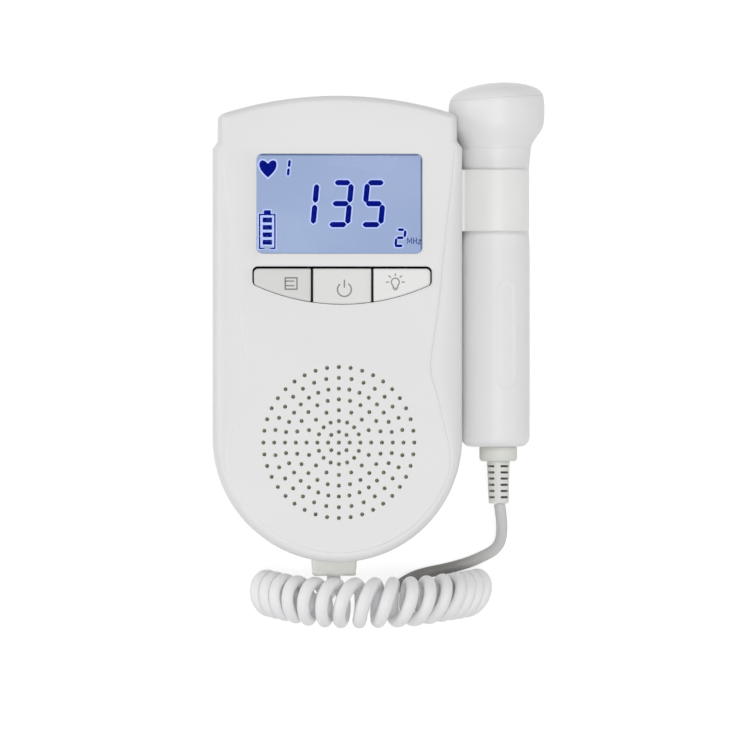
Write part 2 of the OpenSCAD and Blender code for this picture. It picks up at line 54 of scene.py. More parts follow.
TO_ROW = Matrix.Diagonal((0.001, 0.001, 0.001, 1)) @ Matrix.Translation((-12.125, -33.7, 0))
PROBE_X, PROBE_Z = 46.3, 16.0


def row(p):
    return tuple(TO_ROW @ Vector(p))


def ease(a, b, x):
    t = min(1.0, max(0.0, (x - a) / (b - a)))
    return t * t * (3 - 2 * t)


def table(pairs, x):
    """Smooth curve through a short table."""
    if x <= pairs[0][0]:
        return pairs[0][1]
    if x >= pairs[-1][0]:
        return pairs[-1][1]
    k = max(i for i in range(len(pairs) - 1) if pairs[i][0] <= x)

    def slope(i):
        a, b = pairs[max(i - 1, 0)], pairs[min(i + 1, len(pairs) - 1)]
        return (b[1] - a[1]) / (b[0] - a[0])

    (x0, y0), (x1, y1) = pairs[k], pairs[k + 1]
    h = x1 - x0
    t = (x - x0) / h
    return (
        y0 * (1 + 2 * t) * (1 - t) ** 2
        + slope(k) * h * t * (1 - t) ** 2
        + y1 * t * t * (3 - 2 * t)
        + slope(k + 1) * h * t * t * (t - 1)
    )


def through(points, n):
    """Catmull-Rom through 3-D points, n steps a span."""
    out = []
    for k in range(len(points) - 1):
        a = Vector(points[max(k - 1, 0)])
        b = Vector(points[k])
        c = Vector(points[k + 1])
        d = Vector(points[min(k + 2, len(points) - 1)])
        for j in range(n):
            s = j / n
            out.append(0.5 * (2 * b + (c - a) * s + (2 * a - 5 * b + 4 * c - d) * s * s + (3 * b - a - 3 * c + d) * s**3))
    out.append(Vector(points[-1]))
    return out


# ---------------------------------------------------------------- camera

def set_camera():
    data = bpy.data.cameras.new("camera")
    cam = bpy.data.objects.new("camera", data)
    SCN.collection.objects.link(cam)
    data.sensor_width = 36
    data.lens = 421.7
    data.clip_start = 0.1
    data.clip_end = 30
    data.dof.use_dof = False
    turn = math.radians(2.75)
    away = Vector((-math.sin(turn), 0, math.cos(turn)))
    right = Vector((math.cos(turn), 0, math.sin(turn)))
    m = Matrix((right, Vector((0, 1, 0)), away)).transposed().to_4x4()
    m.translation = Vector(row((9.05, 20.3, 20))) + away * 2.5
    cam.matrix_world = m
    SCN.camera = cam


set_camera()


# ---------------------------------------------------------------- mesh tools

def make(name, verts, faces):
    mesh = bpy.data.meshes.new(name)
    mesh.from_pydata([tuple(v) for v in verts], [], [tuple(f) for f in faces])
    obj = bpy.data.objects.new(name, mesh)
    SCN.collection.objects.link(obj)
    tidy(obj)
    return obj


def tidy(obj, merge=1e-5):
    bm = bmesh.new()
    bm.from_mesh(obj.data)
    bmesh.ops.remove_doubles(bm, verts=bm.verts, dist=merge)
    bmesh.ops.recalc_face_normals(bm, faces=bm.faces)
    bm.to_mesh(obj.data)
    bm.free()
    obj.data.update()


def settle(obj):
    """Applies the modifiers, and keeps the result as the object's mesh."""
    bpy.context.view_layer.update()
    deps = bpy.context.evaluated_depsgraph_get()
    mesh = bpy.data.meshes.new_from_object(obj.evaluated_get(deps))
    obj.modifiers.clear()
    old = obj.data
    obj.data = mesh
    bpy.data.meshes.remove(old)


def cut(obj, tool, how="DIFFERENCE", keep=False):
    m = obj.modifiers.new("cut", "BOOLEAN")
    m.operation = how
    m.solver = "EXACT"
    m.object = tool
    settle(obj)
    if not keep:
        mesh = tool.data
        bpy.data.objects.remove(tool)
        bpy.data.meshes.remove(mesh)


def soften(obj, width, angle=40, segments=2):
    m = obj.modifiers.new("soften", "BEVEL")
    m.width = width
    m.segments = segments
    m.limit_method = "ANGLE"
    m.angle_limit = math.radians(angle)
    m.use_clamp_overlap = True
    m.harden_normals = False
    settle(obj)


def join(name, objs):
    bm = bmesh.new()
    for o in objs:
        bm.from_mesh(o.data)
    mesh = bpy.data.meshes.new(name)
    bm.to_mesh(mesh)
    bm.free()
    for o in objs:
        old = o.data
        bpy.data.objects.remove(o)
        bpy.data.meshes.remove(old)
    obj = bpy.data.objects.new(name, mesh)
    SCN.collection.objects.link(obj)
    return obj


def loft(name, rings, closed=False, caps=True):
    """Skin over rings of equal count; closed joins the last ring to the first."""
    n = len(rings[0])
    verts = [p for r in rings for p in r]
    faces = []
    for i in range(len(rings) if closed else len(rings) - 1):
        j = (i + 1) % len(rings)
        for k in range(n):
            l = (k + 1) % n
            faces.append((i * n + k, i * n + l, j * n + l, j * n + k))
    if caps and not closed:
        faces.append(tuple(range(n - 1, -1, -1)))
        faces.append(tuple((len(rings) - 1) * n + k for k in range(n)))
    return make(name, verts, faces)


def prism(name, loop, z0, z1):
    return loft(name, [[(x, y, z0) for x, y in loop], [(x, y, z1) for x, y in loop]])


def box(name, lo, hi):
    return prism(name, [(lo[0], lo[1]), (hi[0], lo[1]), (hi[0], hi[1]), (lo[0], hi[1])], lo[2], hi[2])


def circle(cx, cy, r, n, start=0.0):
    return [(cx + r * math.cos(start + 2 * math.pi * k / n), cy + r * math.sin(start + 2 * math.pi * k / n)) for k in range(n)]


def turned(name, profile, n=96, centre=(0, 0), axis="z", pinch=None):
    """Revolves (radius, height) points. axis 'probe' turns about the probe's own axis."""
    rings = []
    verts = []
    for r, h in profile:
        if r < 1e-6:
            verts.append([(0.0, 0.0, h)])
        else:
            verts.append([(r * math.sin(2 * math.pi * k / n), r * math.cos(2 * math.pi * k / n), h) for k in range(n)])
    flat, start = [], []
    for ring in verts:
        start.append(len(flat))
        flat += ring
    faces = []
    m = len(profile)
    for i in range(m):
        j = (i + 1) % m
        a, b = verts[i], verts[j]
        if len(a) == 1 and len(b) == 1:
            continue
        for k in range(n):
            l = (k + 1) % n
            if len(a) == 1:
                faces.append((start[i], start[j] + k, start[j] + l))
            elif len(b) == 1:
                faces.append((start[i] + k, start[i] + l, start[j]))
            else:
                faces.append((start[i] + k, start[i] + l, start[j] + l, start[j] + k))
    out = []
    for x, y, h in flat:
        if pinch:
            x, y, h = pinch(x, y, h)
        if axis == "z":
            out.append((centre[0] + x, centre[1] + y, h))
        elif axis == "probe":
            out.append((PROBE_X + x, h, PROBE_Z + y))
        elif axis == "x":
            out.append((h, centre[0] + x, centre[1] + y))
    return make(name, out, faces)


def arc(cx, cy, rx, ry, a0, a1, n):
    return [(cx + rx * math.cos(math.radians(a0 + (a1 - a0) * i / n)), cy + ry * math.sin(math.radians(a0 + (a1 - a0) * i / n))) for i in range(n + 1)]


def tube(name, path, radii, n=14):
    """Tube along points, with its rings turned as little as possible."""
    path = [Vector(p) for p in path]
    last = len(path) - 1
    t0 = (path[1] - path[0]).normalized()
    side = t0.cross(Vector((0.1, 0.3, 1))).normalized()
    rings = []
    for i, p in enumerate(path):
        t = (path[min(i + 1, last)] - path[max(i - 1, 0)]).normalized()
        side = (side - t * side.dot(t)).normalized()
        up = t.cross(side)
        r = radii[i]
        rings.append([tuple(p + (side * math.cos(2 * math.pi * k / n) + up * math.sin(2 * math.pi * k / n)) * r) for k in range(n)])
    return loft(name, rings)


def rounded(x0, x1, y0, y1, r, n=6):
    out = []
    for cx, cy, a in ((x1 - r, y1 - r, 0), (x0 + r, y1 - r, 90), (x0 + r, y0 + r, 180), (x1 - r, y0 + r, 270)):
        out += [(cx + r * math.cos(math.radians(a + 90 * k / n)), cy + r * math.sin(math.radians(a + 90 * k / n))) for k in range(n + 1)]
    return out


def finish_piece(obj, body, nodes, mats, angle=38):
    """Brings a piece into the shared frame and files it."""
    obj.data.transform(TO_ROW)
    obj.data.shade_smooth()
    obj.data.set_sharp_from_angle(angle=math.radians(angle))
    if not isinstance(mats, (list, tuple)):
        mats = [mats]
    if len(obj.data.materials) == 0:
        for m in mats:
            obj.data.materials.append(m)
    if body:
        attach(obj, body)
    if nodes:
        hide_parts(*nodes)
    return obj


# ---------------------------------------------------------------- materials

def lin(r, g=None, b=None):
    """Screen colour 0-255 to linear."""
    if g is None:
        g = b = r
    return tuple(((c / 255) / 12.92 if c / 255 <= 0.04045 else ((c / 255 + 0.055) / 1.055) ** 2.4) for c in (r, g, b)) + (1.0,)


def surface(name, colour, rough, tone=0.03, tone_scale=45, second=None, grain=0.25, grain_size=0.35, depth=0.01,
            rough_span=0.05, metallic=0.0, ior=1.47, coat=0.0, coat_rough=0.15, sheen=0.0, scatter=0.0, weave=None):
    """A moulded, painted, woven or metal surface. tone is how far the colour wanders, grain_size and depth are in millimetres."""
    m = bpy.data.materials.new(name)
    m.use_nodes = True
    t = m.node_tree
    bs = t.nodes["Principled BSDF"]
    link = t.links.new
    co = t.nodes.new("ShaderNodeTexCoord")
    wander = t.nodes.new("ShaderNodeTexNoise")
    wander.inputs["Scale"].default_value = tone_scale
    wander.inputs["Detail"].default_value = 3
    link(co.outputs["Object"], wander.inputs["Vector"])
    ramp = t.nodes.new("ShaderNodeValToRGB")
    lo = tuple(c * (1 - tone) for c in colour[:3]) + (1,)
    hi = tuple(min(1, c * (1 + tone)) for c in (second or colour)[:3]) + (1,)
    ramp.color_ramp.elements[0].position = 0.3
    ramp.color_ramp.elements[1].position = 0.7
    ramp.color_ramp.elements[0].color = lo
    ramp.color_ramp.elements[1].color = hi
    link(wander.outputs["Fac"], ramp.inputs["Fac"])
    link(ramp.outputs["Color"], bs.inputs["Base Color"])
    fine = t.nodes.new("ShaderNodeTexNoise")
    fine.inputs["Scale"].default_value = 1000 / grain_size / 2
    fine.inputs["Detail"].default_value = 2
    link(co.outputs["Object"], fine.inputs["Vector"])
    span = t.nodes.new("ShaderNodeMapRange")
    span.inputs["To Min"].default_value = max(0.0, rough - rough_span)
    span.inputs["To Max"].default_value = min(1.0, rough + rough_span)
    link(wander.outputs["Fac"], span.inputs["Value"])
    link(span.outputs["Result"], bs.inputs["Roughness"])
    bump = t.nodes.new("ShaderNodeBump")
    bump.inputs["Strength"].default_value = grain
    bump.inputs["Distance"].default_value = depth / 1000
    if weave:
        waves = []
        for axis, size in (("X", weave), ("Y", weave)):
            w = t.nodes.new("ShaderNodeTexWave")
            w.bands_direction = axis
            w.inputs["Scale"].default_value = 1000 / size / 6.2832 * 3.1416
            w.inputs["Distortion"].default_value = 0.6
            w.inputs["Detail Scale"].default_value = 2
            link(co.outputs["Object"], w.inputs["Vector"])
            waves.append(w)
        top = t.nodes.new("ShaderNodeMath")
        top.operation = "MAXIMUM"
        link(waves[0].outputs["Fac"], top.inputs[0])
        link(waves[1].outputs["Fac"], top.inputs[1])
        link(top.outputs["Value"], bump.inputs["Height"])
    else:
        link(fine.outputs["Fac"], bump.inputs["Height"])
    link(bump.outputs["Normal"], bs.inputs["Normal"])
    bs.inputs["Metallic"].default_value = metallic
    bs.inputs["IOR"].default_value = ior
    bs.inputs["Coat Weight"].default_value = coat
    bs.inputs["Coat Roughness"].default_value = coat_rough
    bs.inputs["Sheen Weight"].default_value = sheen
    if scatter:
        bs.inputs["Subsurface Weight"].default_value = scatter
        bs.inputs["Subsurface Radius"].default_value = (1.0, 0.95, 0.9)
        bs.inputs["Subsurface Scale"].default_value = 0.0012
    return m


CASING = surface("casing_plastic", lin(238, 238, 238), 0.42, tone=0.012, tone_scale=30, grain=0.3, grain_size=0.3, depth=0.012)
BACK = surface("casing_plastic_back", lin(241, 241, 240), 0.46, tone=0.012, tone_scale=30, grain=0.45, grain_size=0.35, depth=0.02)
PROBE = surface("probe_plastic", lin(246, 246, 246), 0.38, tone=0.01, tone_scale=40, grain=0.2, grain_size=0.3, depth=0.008)
HEAD_FACE = surface("probe_face_plastic", lin(246, 246, 246), 0.34, tone=0.012, tone_scale=60, grain=0.15, grain_size=0.25, depth=0.006)
CLIP = surface("clip_plastic", lin(246, 246, 245), 0.36, tone=0.012, tone_scale=60, grain=0.2, grain_size=0.3, depth=0.008)
VINYL = surface("relief_vinyl", lin(236, 237, 232), 0.5, tone=0.02, tone_scale=90, grain=0.3, grain_size=0.25, depth=0.01)
COLLAR = surface("collar_vinyl", lin(232, 234, 227), 0.5, tone=0.02, tone_scale=90, grain=0.3, grain_size=0.25, depth=0.01)
# The lead is the curls' own vinyl, painted greyer as painted shade.
LEAD_PAINTED_SHADE = surface("cord_vinyl_lead_painted_shade", lin(217, 217, 216), 0.45, tone=0.03, tone_scale=70, grain=0.25, grain_size=0.5, depth=0.02)


def painted_shade_along_x(m, x0, x1, colour):
    """Paints shade into the surface: mixes its colour towards a darker one between two distances along X, in metres."""
    t = m.node_tree
    bs = t.nodes["Principled BSDF"]
    base = next(l for l in t.links if l.to_socket == bs.inputs["Base Color"]).from_socket
    co = next(n for n in t.nodes if n.type == "TEX_COORD")
    part = t.nodes.new("ShaderNodeSeparateXYZ")
    span = t.nodes.new("ShaderNodeMapRange")
    mix = t.nodes.new("ShaderNodeMix")
    mix.data_type = "RGBA"
    span.interpolation_type = "SMOOTHSTEP"
    span.inputs["From Min"].default_value = x0
    span.inputs["From Max"].default_value = x1
    span.inputs["To Min"].default_value = 1.0
    span.inputs["To Max"].default_value = 0.0
    t.links.new(co.outputs["Object"], part.inputs["Vector"])
    t.links.new(part.outputs["X"], span.inputs["Value"])
    t.links.new(span.outputs["Result"], mix.inputs[0])
    t.links.new(base, mix.inputs[6])
    mix.inputs[7].default_value = colour
    t.links.new(mix.outputs[2], bs.inputs["Base Color"])


# painted shade: the lead darkens further towards the curls, which shade it
painted_shade_along_x(LEAD_PAINTED_SHADE, 0.02, 0.037, lin(136, 133, 130))
CORD = surface("cord_vinyl", lin(246, 246, 247), 0.36, tone=0.02, tone_scale=70, grain=0.22, grain_size=0.5, depth=0.02)
# painted shade: a darker copy of the relief's vinyl that lines its slots
SLOT_SHADE = surface("relief_slot_painted_shade", lin(168, 168, 163), 0.7, tone=0.06, tone_scale=200, grain=0.3, grain_size=0.25, depth=0.01)
PLUG = surface("plug_plastic", lin(248, 249, 243), 0.5, tone=0.015, tone_scale=80, grain=0.35, grain_size=0.35, depth=0.015)
# One key plastic in three tones, darker on the left and lighter on the right: painted shade and light across the row of
# keys
KEYS = {
    "menu": surface("key_plastic_painted_shade", lin(224, 224, 222), 0.4, tone=0.015, tone_scale=60, grain=0.2, grain_size=0.3, depth=0.008),
    "power": surface("key_plastic_painted_mid", lin(232, 232, 230), 0.4, tone=0.015, tone_scale=60, grain=0.2, grain_size=0.3, depth=0.008),
    "light": surface("key_plastic_painted_lit", lin(241, 241, 240), 0.4, tone=0.015, tone_scale=60, grain=0.2, grain_size=0.3, depth=0.008),
}
PRINT = surface("key_print", lin(140, 140, 140), 0.55, tone=0.05, tone_scale=400, grain=0.2, grain_size=0.15, depth=0.004)
MAT = surface("mat_rubber", lin(20, 20, 21), 0.7, tone=0.1, grain=0.4, grain_size=0.3, depth=0.02)
SILICONE = surface("silicone", lin(212, 213, 212), 0.55, tone=0.03, grain=0.2)
DARK = surface("dark_plastic", lin(42, 42, 46), 0.45, tone=0.08, grain=0.35, grain_size=0.25, depth=0.015)
BOARD = surface("board", lin(24, 96, 62), 0.35, tone=0.12, tone_scale=300, grain=0.3, grain_size=0.6, depth=0.02, coat=0.4)
STEEL = surface("steel", lin(184, 184, 188), 0.3, tone=0.05, tone_scale=400, metallic=1.0, grain=0.3, grain_size=0.1, depth=0.004)
SPEAKER_METAL = surface("speaker_metal", lin(135, 137, 141), 0.42, tone=0.06, metallic=0.8, grain=0.2)
PAPER = surface("speaker_paper", lin(34, 34, 36), 0.85, tone=0.2, tone_scale=500, grain=0.6, grain_size=0.4, depth=0.05)
CLOTH = surface("grille_fabric", lin(196, 195, 166), 0.9, tone=0.12, tone_scale=600, grain=0.8, grain_size=0.3, depth=0.06, weave=0.45)
JACKET = surface("cell_jacket", lin(96, 118, 140), 0.3, tone=0.06, grain=0.2, coat=0.5)
CONTACT = surface("contact_metal", lin(205, 194, 150), 0.3, tone=0.04, metallic=1.0, grain=0.2, grain_size=0.15)
WHEEL = surface("wheel_plastic", lin(160, 162, 164), 0.5, tone=0.04, grain=0.4, grain_size=0.3, depth=0.02)
FOOT = surface("foot_rubber", lin(92, 92, 94), 0.75, tone=0.08, grain=0.5, grain_size=0.4, depth=0.03)
CRYSTAL = surface("crystal", lin(196, 188, 162), 0.25, tone=0.05, metallic=0.9, grain=0.1)
FRAME = surface("display_frame", lin(236, 236, 236), 0.5, tone=0.02, grain=0.2)
GUIDE = surface("light_guide", lin(214, 230, 250), 0.12, tone=0.02, grain=0.1)


def window_material():
    m = surface("display_window", (1, 1, 1, 1), 0.06, tone=0.0, grain=0.05, grain_size=2.0, depth=0.004, rough_span=0.02, ior=1.09)
    m.node_tree.nodes["Principled BSDF"].inputs["Transmission Weight"].default_value = 1.0
    return m


def glow_material(name, one, two, strength, scale=28):
    """Back-lit film: the light comes through it, so its colour is mostly its own."""
    m = surface(name, one, 0.35, second=two, tone=0.0, tone_scale=scale, grain=0.1, grain_size=0.2, depth=0.003)
    t = m.node_tree
    bs = t.nodes["Principled BSDF"]
    ramp = next(n for n in t.nodes if n.type == "VALTORGB")
    t.links.new(ramp.outputs["Color"], bs.inputs["Emission Color"])
    bs.inputs["Emission Strength"].default_value = strength
    for l in list(t.links):
        if l.to_socket == bs.inputs["Base Color"]:
            t.links.remove(l)
    bs.inputs["Base Color"].default_value = (0.02, 0.03, 0.05, 1)
    bs.inputs["Specular IOR Level"].default_value = 0.2
    return m


WINDOW = window_material()
FILM = glow_material("display_glass", lin(154, 175, 210), lin(157, 173, 211), 0.93, scale=18)
# painted shadow of the window's opening, laid along the film's border
FILM_SHADOW = glow_material("display_painted_shadow", lin(96, 116, 150), lin(102, 120, 154), 0.85)
HALO = glow_material("display_halo", lin(192, 206, 255), lin(186, 200, 252), 1.0)
MARKS = glow_material("display_marks", lin(1, 12, 122), lin(2, 18, 132), 0.95, scale=400)
MARKS.node_tree.nodes["Principled BSDF"].inputs["Specular IOR Level"].default_value = 0.02
MARKS.node_tree.nodes["Principled BSDF"].inputs["Base Color"].default_value = (0.0, 0.001, 0.006, 1)
CELL_GLASS = surface("display_cell_glass", lin(120, 140, 165), 0.1, tone=0.02, grain=0.05)


def dress(mat, *names):
    for n in names:
        for s in NODES[n].material_slots:
            s.material = mat


dress(DARK, "tact_switches", "board_chips", "volume_pot", "headphone_jack", "crystal_carrier")
dress(BOARD, "main_board", "side_board", "probe_board")
dress(STEEL, "board_screws", "shell_screws", "clip_screws", "battery_springs")
dress(SPEAKER_METAL, "speaker_frame", "speaker_magnet")
dress(PAPER, "speaker_cone")
dress(CLOTH, "grille_cloth")
dress(MAT, "keypad_mat")
dress(SILICONE, "head_seal")
dress(JACKET, "batteries")
dress(CONTACT, "battery_contacts")
dress(WHEEL, "volume_wheel")
dress(PLUG, "probe_socket")
dress(FOOT, "rubber_feet")
dress(CRYSTAL, "piezo_crystals")
dress(FRAME, "lcd_frame")
dress(GUIDE, "lcd_backlight")


# ---------------------------------------------------------------- cord

WIRE, CURL = 1.65, 1.6
LEAD_WAY = [(47.5, -19.1, 16), (47.6, -19.8, 16), (47.7, -20.6, 16), (48.0, -22.6, 15.5), (48.3, -25, 14), (48.4, -28, 11.2), (48.0, -30.6, 8),
            (46.4, -32.9, 5), (43.4, -34.7, 2.9), (39.8, -36.3, 1.9), (36, -37.5, 1.7), (32, -38.5, 1.7), (27.5, -39.4, 1.7),
            (23.5, -40.6, 1.7), (20.2, -42.4, 1.7), (17.5, -44.7, 1.7), (16, -47.4, 1.7), (16.4, -50.2, 1.7), (18.6, -52.2, 1.7),
            (22, -52.8, 1.7), (26, -52.6, 1.7), (29.8, -51.9, 1.7), (33, -50.9, 1.7), (35.4, -49.4, 1.7), (36.4, -47.6, 1.8)]
TAIL_WAY = [(-0.2, -42, 4.2), (-0.4, -43.8, 3.5), (-1.4, -45.8, 2.3), (-3.6, -46.9, 1.8), (-7, -47, 1.7),
            (-10.6, -46.2, 1.7), (-13.6, -45.4, 1.8), (-15.6, -46.3, 2.0)]
# where the curls' middle line has its turns; the line is an arch that stands on its two ends
TURN_AT = [-19.4, -17.1, -14.6, -11.4, -7.2, -2.0, 3.3, 9.05, 14.4, 19.8, 24.45, 29.0, 32.9, 35.6, 37.9, 40.0]
SKEW = [(-30, -1.0), (-12, -0.8), (-7, -0.25), (-2, -0.05), (3.3, 0.7), (9, 0.87), (14.4, 0.85), (19.8, 0.68), (24.5, 0.75), (29, 1.05), (33, 1.4), (36, 1.3), (45, 1.2)]
# how far each turn leans out, in degrees
TILT = [(-30, 50), (-20, 46), (-15, 38), (-11.4, 31), (-7.2, 27), (-2, 25), (3.3, 21.5), (9, 13), (14.4, 0), (19.8, -17), (24.5, -25), (29, -27), (33, -31), (36, -37), (41, -46), (50, -50)]
CURL_Y = [(-30, -43.2), (-24, -44.2), (-17, -45.9), (-11.4, -47.0), (-7.2, -47.5), (-2, -47.8), (3.3, -47.95), (9, -47.95), (14.4, -47.8),
          (19.8, -47.65), (24.5, -47.35), (29, -46.8), (33, -46.3), (36, -45.95), (41, -45.2), (47, -44.2)]
CURL_R, CURL_TOP, CURL_MID, CURL_FLAT, CURL_BEND = 5.45, 14.9, 10.2, 12.0, 0.028


def along(values, s):
    n = len(values)
    i = max(0, min(n - 2, int(math.floor(s))))
    u = s - i

    def v(k):
        return values[k] if 0 <= k < n else (2 * values[0] - values[-k] if k < 0 else 2 * values[-1] - values[2 * (n - 1) - k])

    a, b, c, d = v(i - 1), v(i), v(i + 1), v(i + 2)
    return 0.5 * (2 * b + (c - a) * u + (2 * a - 5 * b + 4 * c - d) * u * u + (3 * b - a - 3 * c + d) * u**3)


def curl_point(s):
    t = 2 * math.pi * s
    a = along(TURN_AT, s - 0.25)
    past = math.copysign(max(0.0, abs(a - CURL_MID) - CURL_FLAT), a - CURL_MID)
    lean = math.radians(table(TILT, a))
    skew = table(SKEW, a)
    deep = CURL_R * (0.92 + 0.08 * math.sin(t)) * math.sin(t)
    return Vector((a - deep * math.sin(lean) - skew * math.cos(t), table(CURL_Y, a) - CURL_R * math.cos(t),
                   CURL_TOP - CURL_BEND * past**2 + deep * math.cos(lean)))


def build_cord():
    per_turn = 40
    first, last = -6, int((len(TURN_AT) - 0.25) * per_turn)
    curl = [curl_point(i / per_turn) for i in range(first, last + 1)]
    tail = through(TAIL_WAY + [tuple(curl[0])], 5)[:-1]
    lead = through([tuple(curl[-1])] + LEAD_WAY[::-1], 5)[1:]
    path = tail + curl + lead
    radii = []
    gone = 0.0
    for i, p in enumerate(path):
        if i:
            gone += (path[i] - path[i - 1]).length
        k = i - len(tail)
        into = ease(-8, 8, k) * (1 - ease(len(curl) - 8, len(curl) + 8, k))
        swell = 0.42 * math.exp(-(((k / len(curl) - 0.48) / 0.26) ** 2)) if 0 <= k < len(curl) else 0.0
        radii.append(WIRE + (CURL - WIRE) * into + swell)
    obj = tube("cord", path, radii, n=16)
    obj.data.materials.append(CORD)
    obj.data.materials.append(LEAD_PAINTED_SHADE)
    from_ring = (len(tail) + len(curl)) * 16
    # the lead's faces take the darker copy of the vinyl, which is painted shade
    for face in obj.data.polygons:
        face.material_index = 1 if min(face.vertices) >= from_ring else 0
    finish_piece(obj, None, ["cord_tail", "cord_coil", "cord_lead"], None, angle=60)
    points = [row(p) for p in path]
    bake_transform(obj)
    return obj, points, gone / 1000


cord, cord_points, cord_length = build_cord()


# ---------------------------------------------------------------- casing outline

R0, TOP_W, ARCH_R, ARCH_CY = 36.0, 34.5, 110.5, -11.4
CREASE = [(-36, 2.85), (-24, 2.75), (-10.7, 2.75), (-5, 3.45), (0, 4.6), (9.3, 6.7), (13.6, 7.85), (17, 8.9), (20.3, 9.45),
          (25.2, 9.05), (31.4, 8.1), (40.9, 6.8), (49.3, 6.0), (61, 4.8), (69, 3.9), (75.7, 3.1), (84, 2.6), (120, 2.6)]
CREASE_DEPTH = [(-36, 0.9), (-32, 0.9), (-24, 0.6), (-5, 0.5), (8, 0.6), (16, 1.0), (60, 1.0), (75, 0.9), (82, 0.6), (86, 0.0), (120, 0.0)]


def stations():
    out = [("arc", -90 + 90 * i / 44) for i in range(44)]
    out += [("side", 83.0 * i / 30) for i in range(30)]
    out += [("step", 83.0 + 3.4 * i / 9) for i in range(9)]
    out += [("up", i / 3) for i in range(3)]
    out += [("corner", i / 7) for i in range(7)]
    out += [("arch", i / 28) for i in range(29)]
    return out


STATIONS = stations()


def level(station):
    kind, v = station
    if kind == "arc":
        return R0 * math.sin(math.radians(v))
    if kind in ("side", "step"):
        return v
    return 90 + 2 * v


def on_outline(station, d):
    kind, v = station
    if kind == "arc":
        a = math.radians(v)
        return ((R0 - d) * math.cos(a), (R0 - d) * math.sin(a))
    if kind == "side":
        return (R0 - d, v)
    if kind == "step":
        return (R0 - d - (R0 - TOP_W) * ease(83.5, 86.2, v), v)
    big = ARCH_R - d
    if d < 1.9:
        small = 2.2 - d
        cx = TOP_W - 2.2
    else:
        small = 0.3
        cx = TOP_W - d - 0.3
    cy = ARCH_CY + math.sqrt((big - small) ** 2 - cx**2)
    end = math.degrees(math.atan2(cy - ARCH_CY, cx))
    if kind == "up":
        return (TOP_W - d, 86.4 + (cy - 86.4) * v)
    if kind == "corner":
        a = math.radians(end * v)
        return (cx + small * math.cos(a), cy + small * math.sin(a))
    a = math.radians(end + (90 - end) * v)
    return (big * math.cos(a), ARCH_CY + big * math.sin(a))


def ring(inset, height):
    """Closed ring round the casing. inset(level) and height(level) in millimetres."""
    right = []
    for st in STATIONS:
        y = level(st)
        d = inset(y) if callable(inset) else inset
        z = height(y) if callable(height) else height
        px, py = on_outline(st, d)
        right.append((px, py, z))
    left = [(-x, y, z) for x, y, z in right[-2:0:-1]]
    return right + left


def plain_case(name, inset, levels):
    """Closed solid of the casing's outer shape, drawn in; levels are (extra inset, height)."""
    return loft(name, [ring(inset + d, z) for d, z in levels])


OUT_LEVELS = (
    [(5.2 - 4.6 * math.cos(math.radians(a)), 6.4 - 5.6 * math.sin(math.radians(a))) for a in (90, 80, 70, 60, 50, 40, 30, 20, 10, 0)]
    + [(0.3, 12.2), (0.0, 18.0), (0.15, 29.2)]
    + [(3.15 - 3 * math.cos(math.radians(a)), 29.2 + 4.4 * math.sin(math.radians(a))) for a in (15, 30, 45, 60, 75, 88)]
)


def inner_levels(t):
    return (
        [(5.2 - (4.6 - t) * math.cos(math.radians(a)), 6.4 - (5.6 - t) * math.sin(math.radians(a))) for a in (90, 70, 50, 30, 10, 0)]
        + [(t + 0.3, 12.2), (t, 18.0), (t + 0.15, 26.0), (t + 3, 30.0), (t + 4.5, 31.5)]
    )


def side_room(grow, name="room"):
    head = turned(name + "_a", [(0, 83 - grow), (14.35 + grow, 83 - grow), (14.35 + grow, 125), (0, 125)], 96, axis="probe")
    clip = turned(name + "_b", [(0, 59.7 - grow), (12.4 + grow, 59.7 - grow), (12.4 + grow, 78.0 + grow), (0, 78.0 + grow)], 96, axis="probe")
    block = box(name + "_c", (34.4 - grow, 59.7 - grow - 0.01, 8 - grow), (44.4 + grow, 78.0 + grow + 0.01, 24 + grow))
    cut(clip, block, "UNION")
    return head, clip


# ---------------------------------------------------------------- front shell

HOLES_IN_RING = [1, 8, 16, 16, 24, 32, 32, 40]
PITCH, GRILLE_Y, HOLE_R = 3.11, -1.2, 0.58
KX, KEY_TOP_Y, KEY_ARC_R, KEY_ARC_Y = 0.95, 49.6, 60.7, 99.3


def key_loop(x0, x1, top, arc_r, corner, g=0.0, n_arc=26, n_c=5):
    """Outline with straight sides and top, and a curved lower edge. corner gives the left and right radii."""
    left, right = corner if isinstance(corner, tuple) else (corner, corner)
    x0, x1, top, big = x0 + g, x1 - g, top - g, arc_r - g
    p, q = max(left - g, 0.06), max(right - g, 0.06)
    out = []
    for cx, cy, r, a in ((x1 - q, top - q, q, 0), (x0 + p, top - p, p, 90)):
        out += [(cx + r * math.cos(math.radians(a + 90 * k / n_c)), cy + r * math.sin(math.radians(a + 90 * k / n_c))) for k in range(n_c + 1)]

    def low(cx, r):
        cy = KEY_ARC_Y - math.sqrt((big - r) ** 2 - (cx - KX) ** 2)
        return cx, cy, math.degrees(math.atan2(cy - KEY_ARC_Y, cx - KX)) % 360

    lx, ly, la = low(x0 + p, p)
    rx, ry, ra = low(x1 - q, q)
    out += [(lx + p * math.cos(math.radians(180 + (la - 180) * k / n_c)), ly + p * math.sin(math.radians(180 + (la - 180) * k / n_c))) for k in range(n_c + 1)]
    out += [(KX + big * math.cos(math.radians(la + (ra - la) * k / n_arc)), KEY_ARC_Y + big * math.sin(math.radians(la + (ra - la) * k / n_arc))) for k in range(1, n_arc)]
    out += [(rx + q * math.cos(math.radians(ra + (360 - ra) * k / n_c)), ry + q * math.sin(math.radians(ra + (360 - ra) * k / n_c))) for k in range(n_c + 1)]
    return out


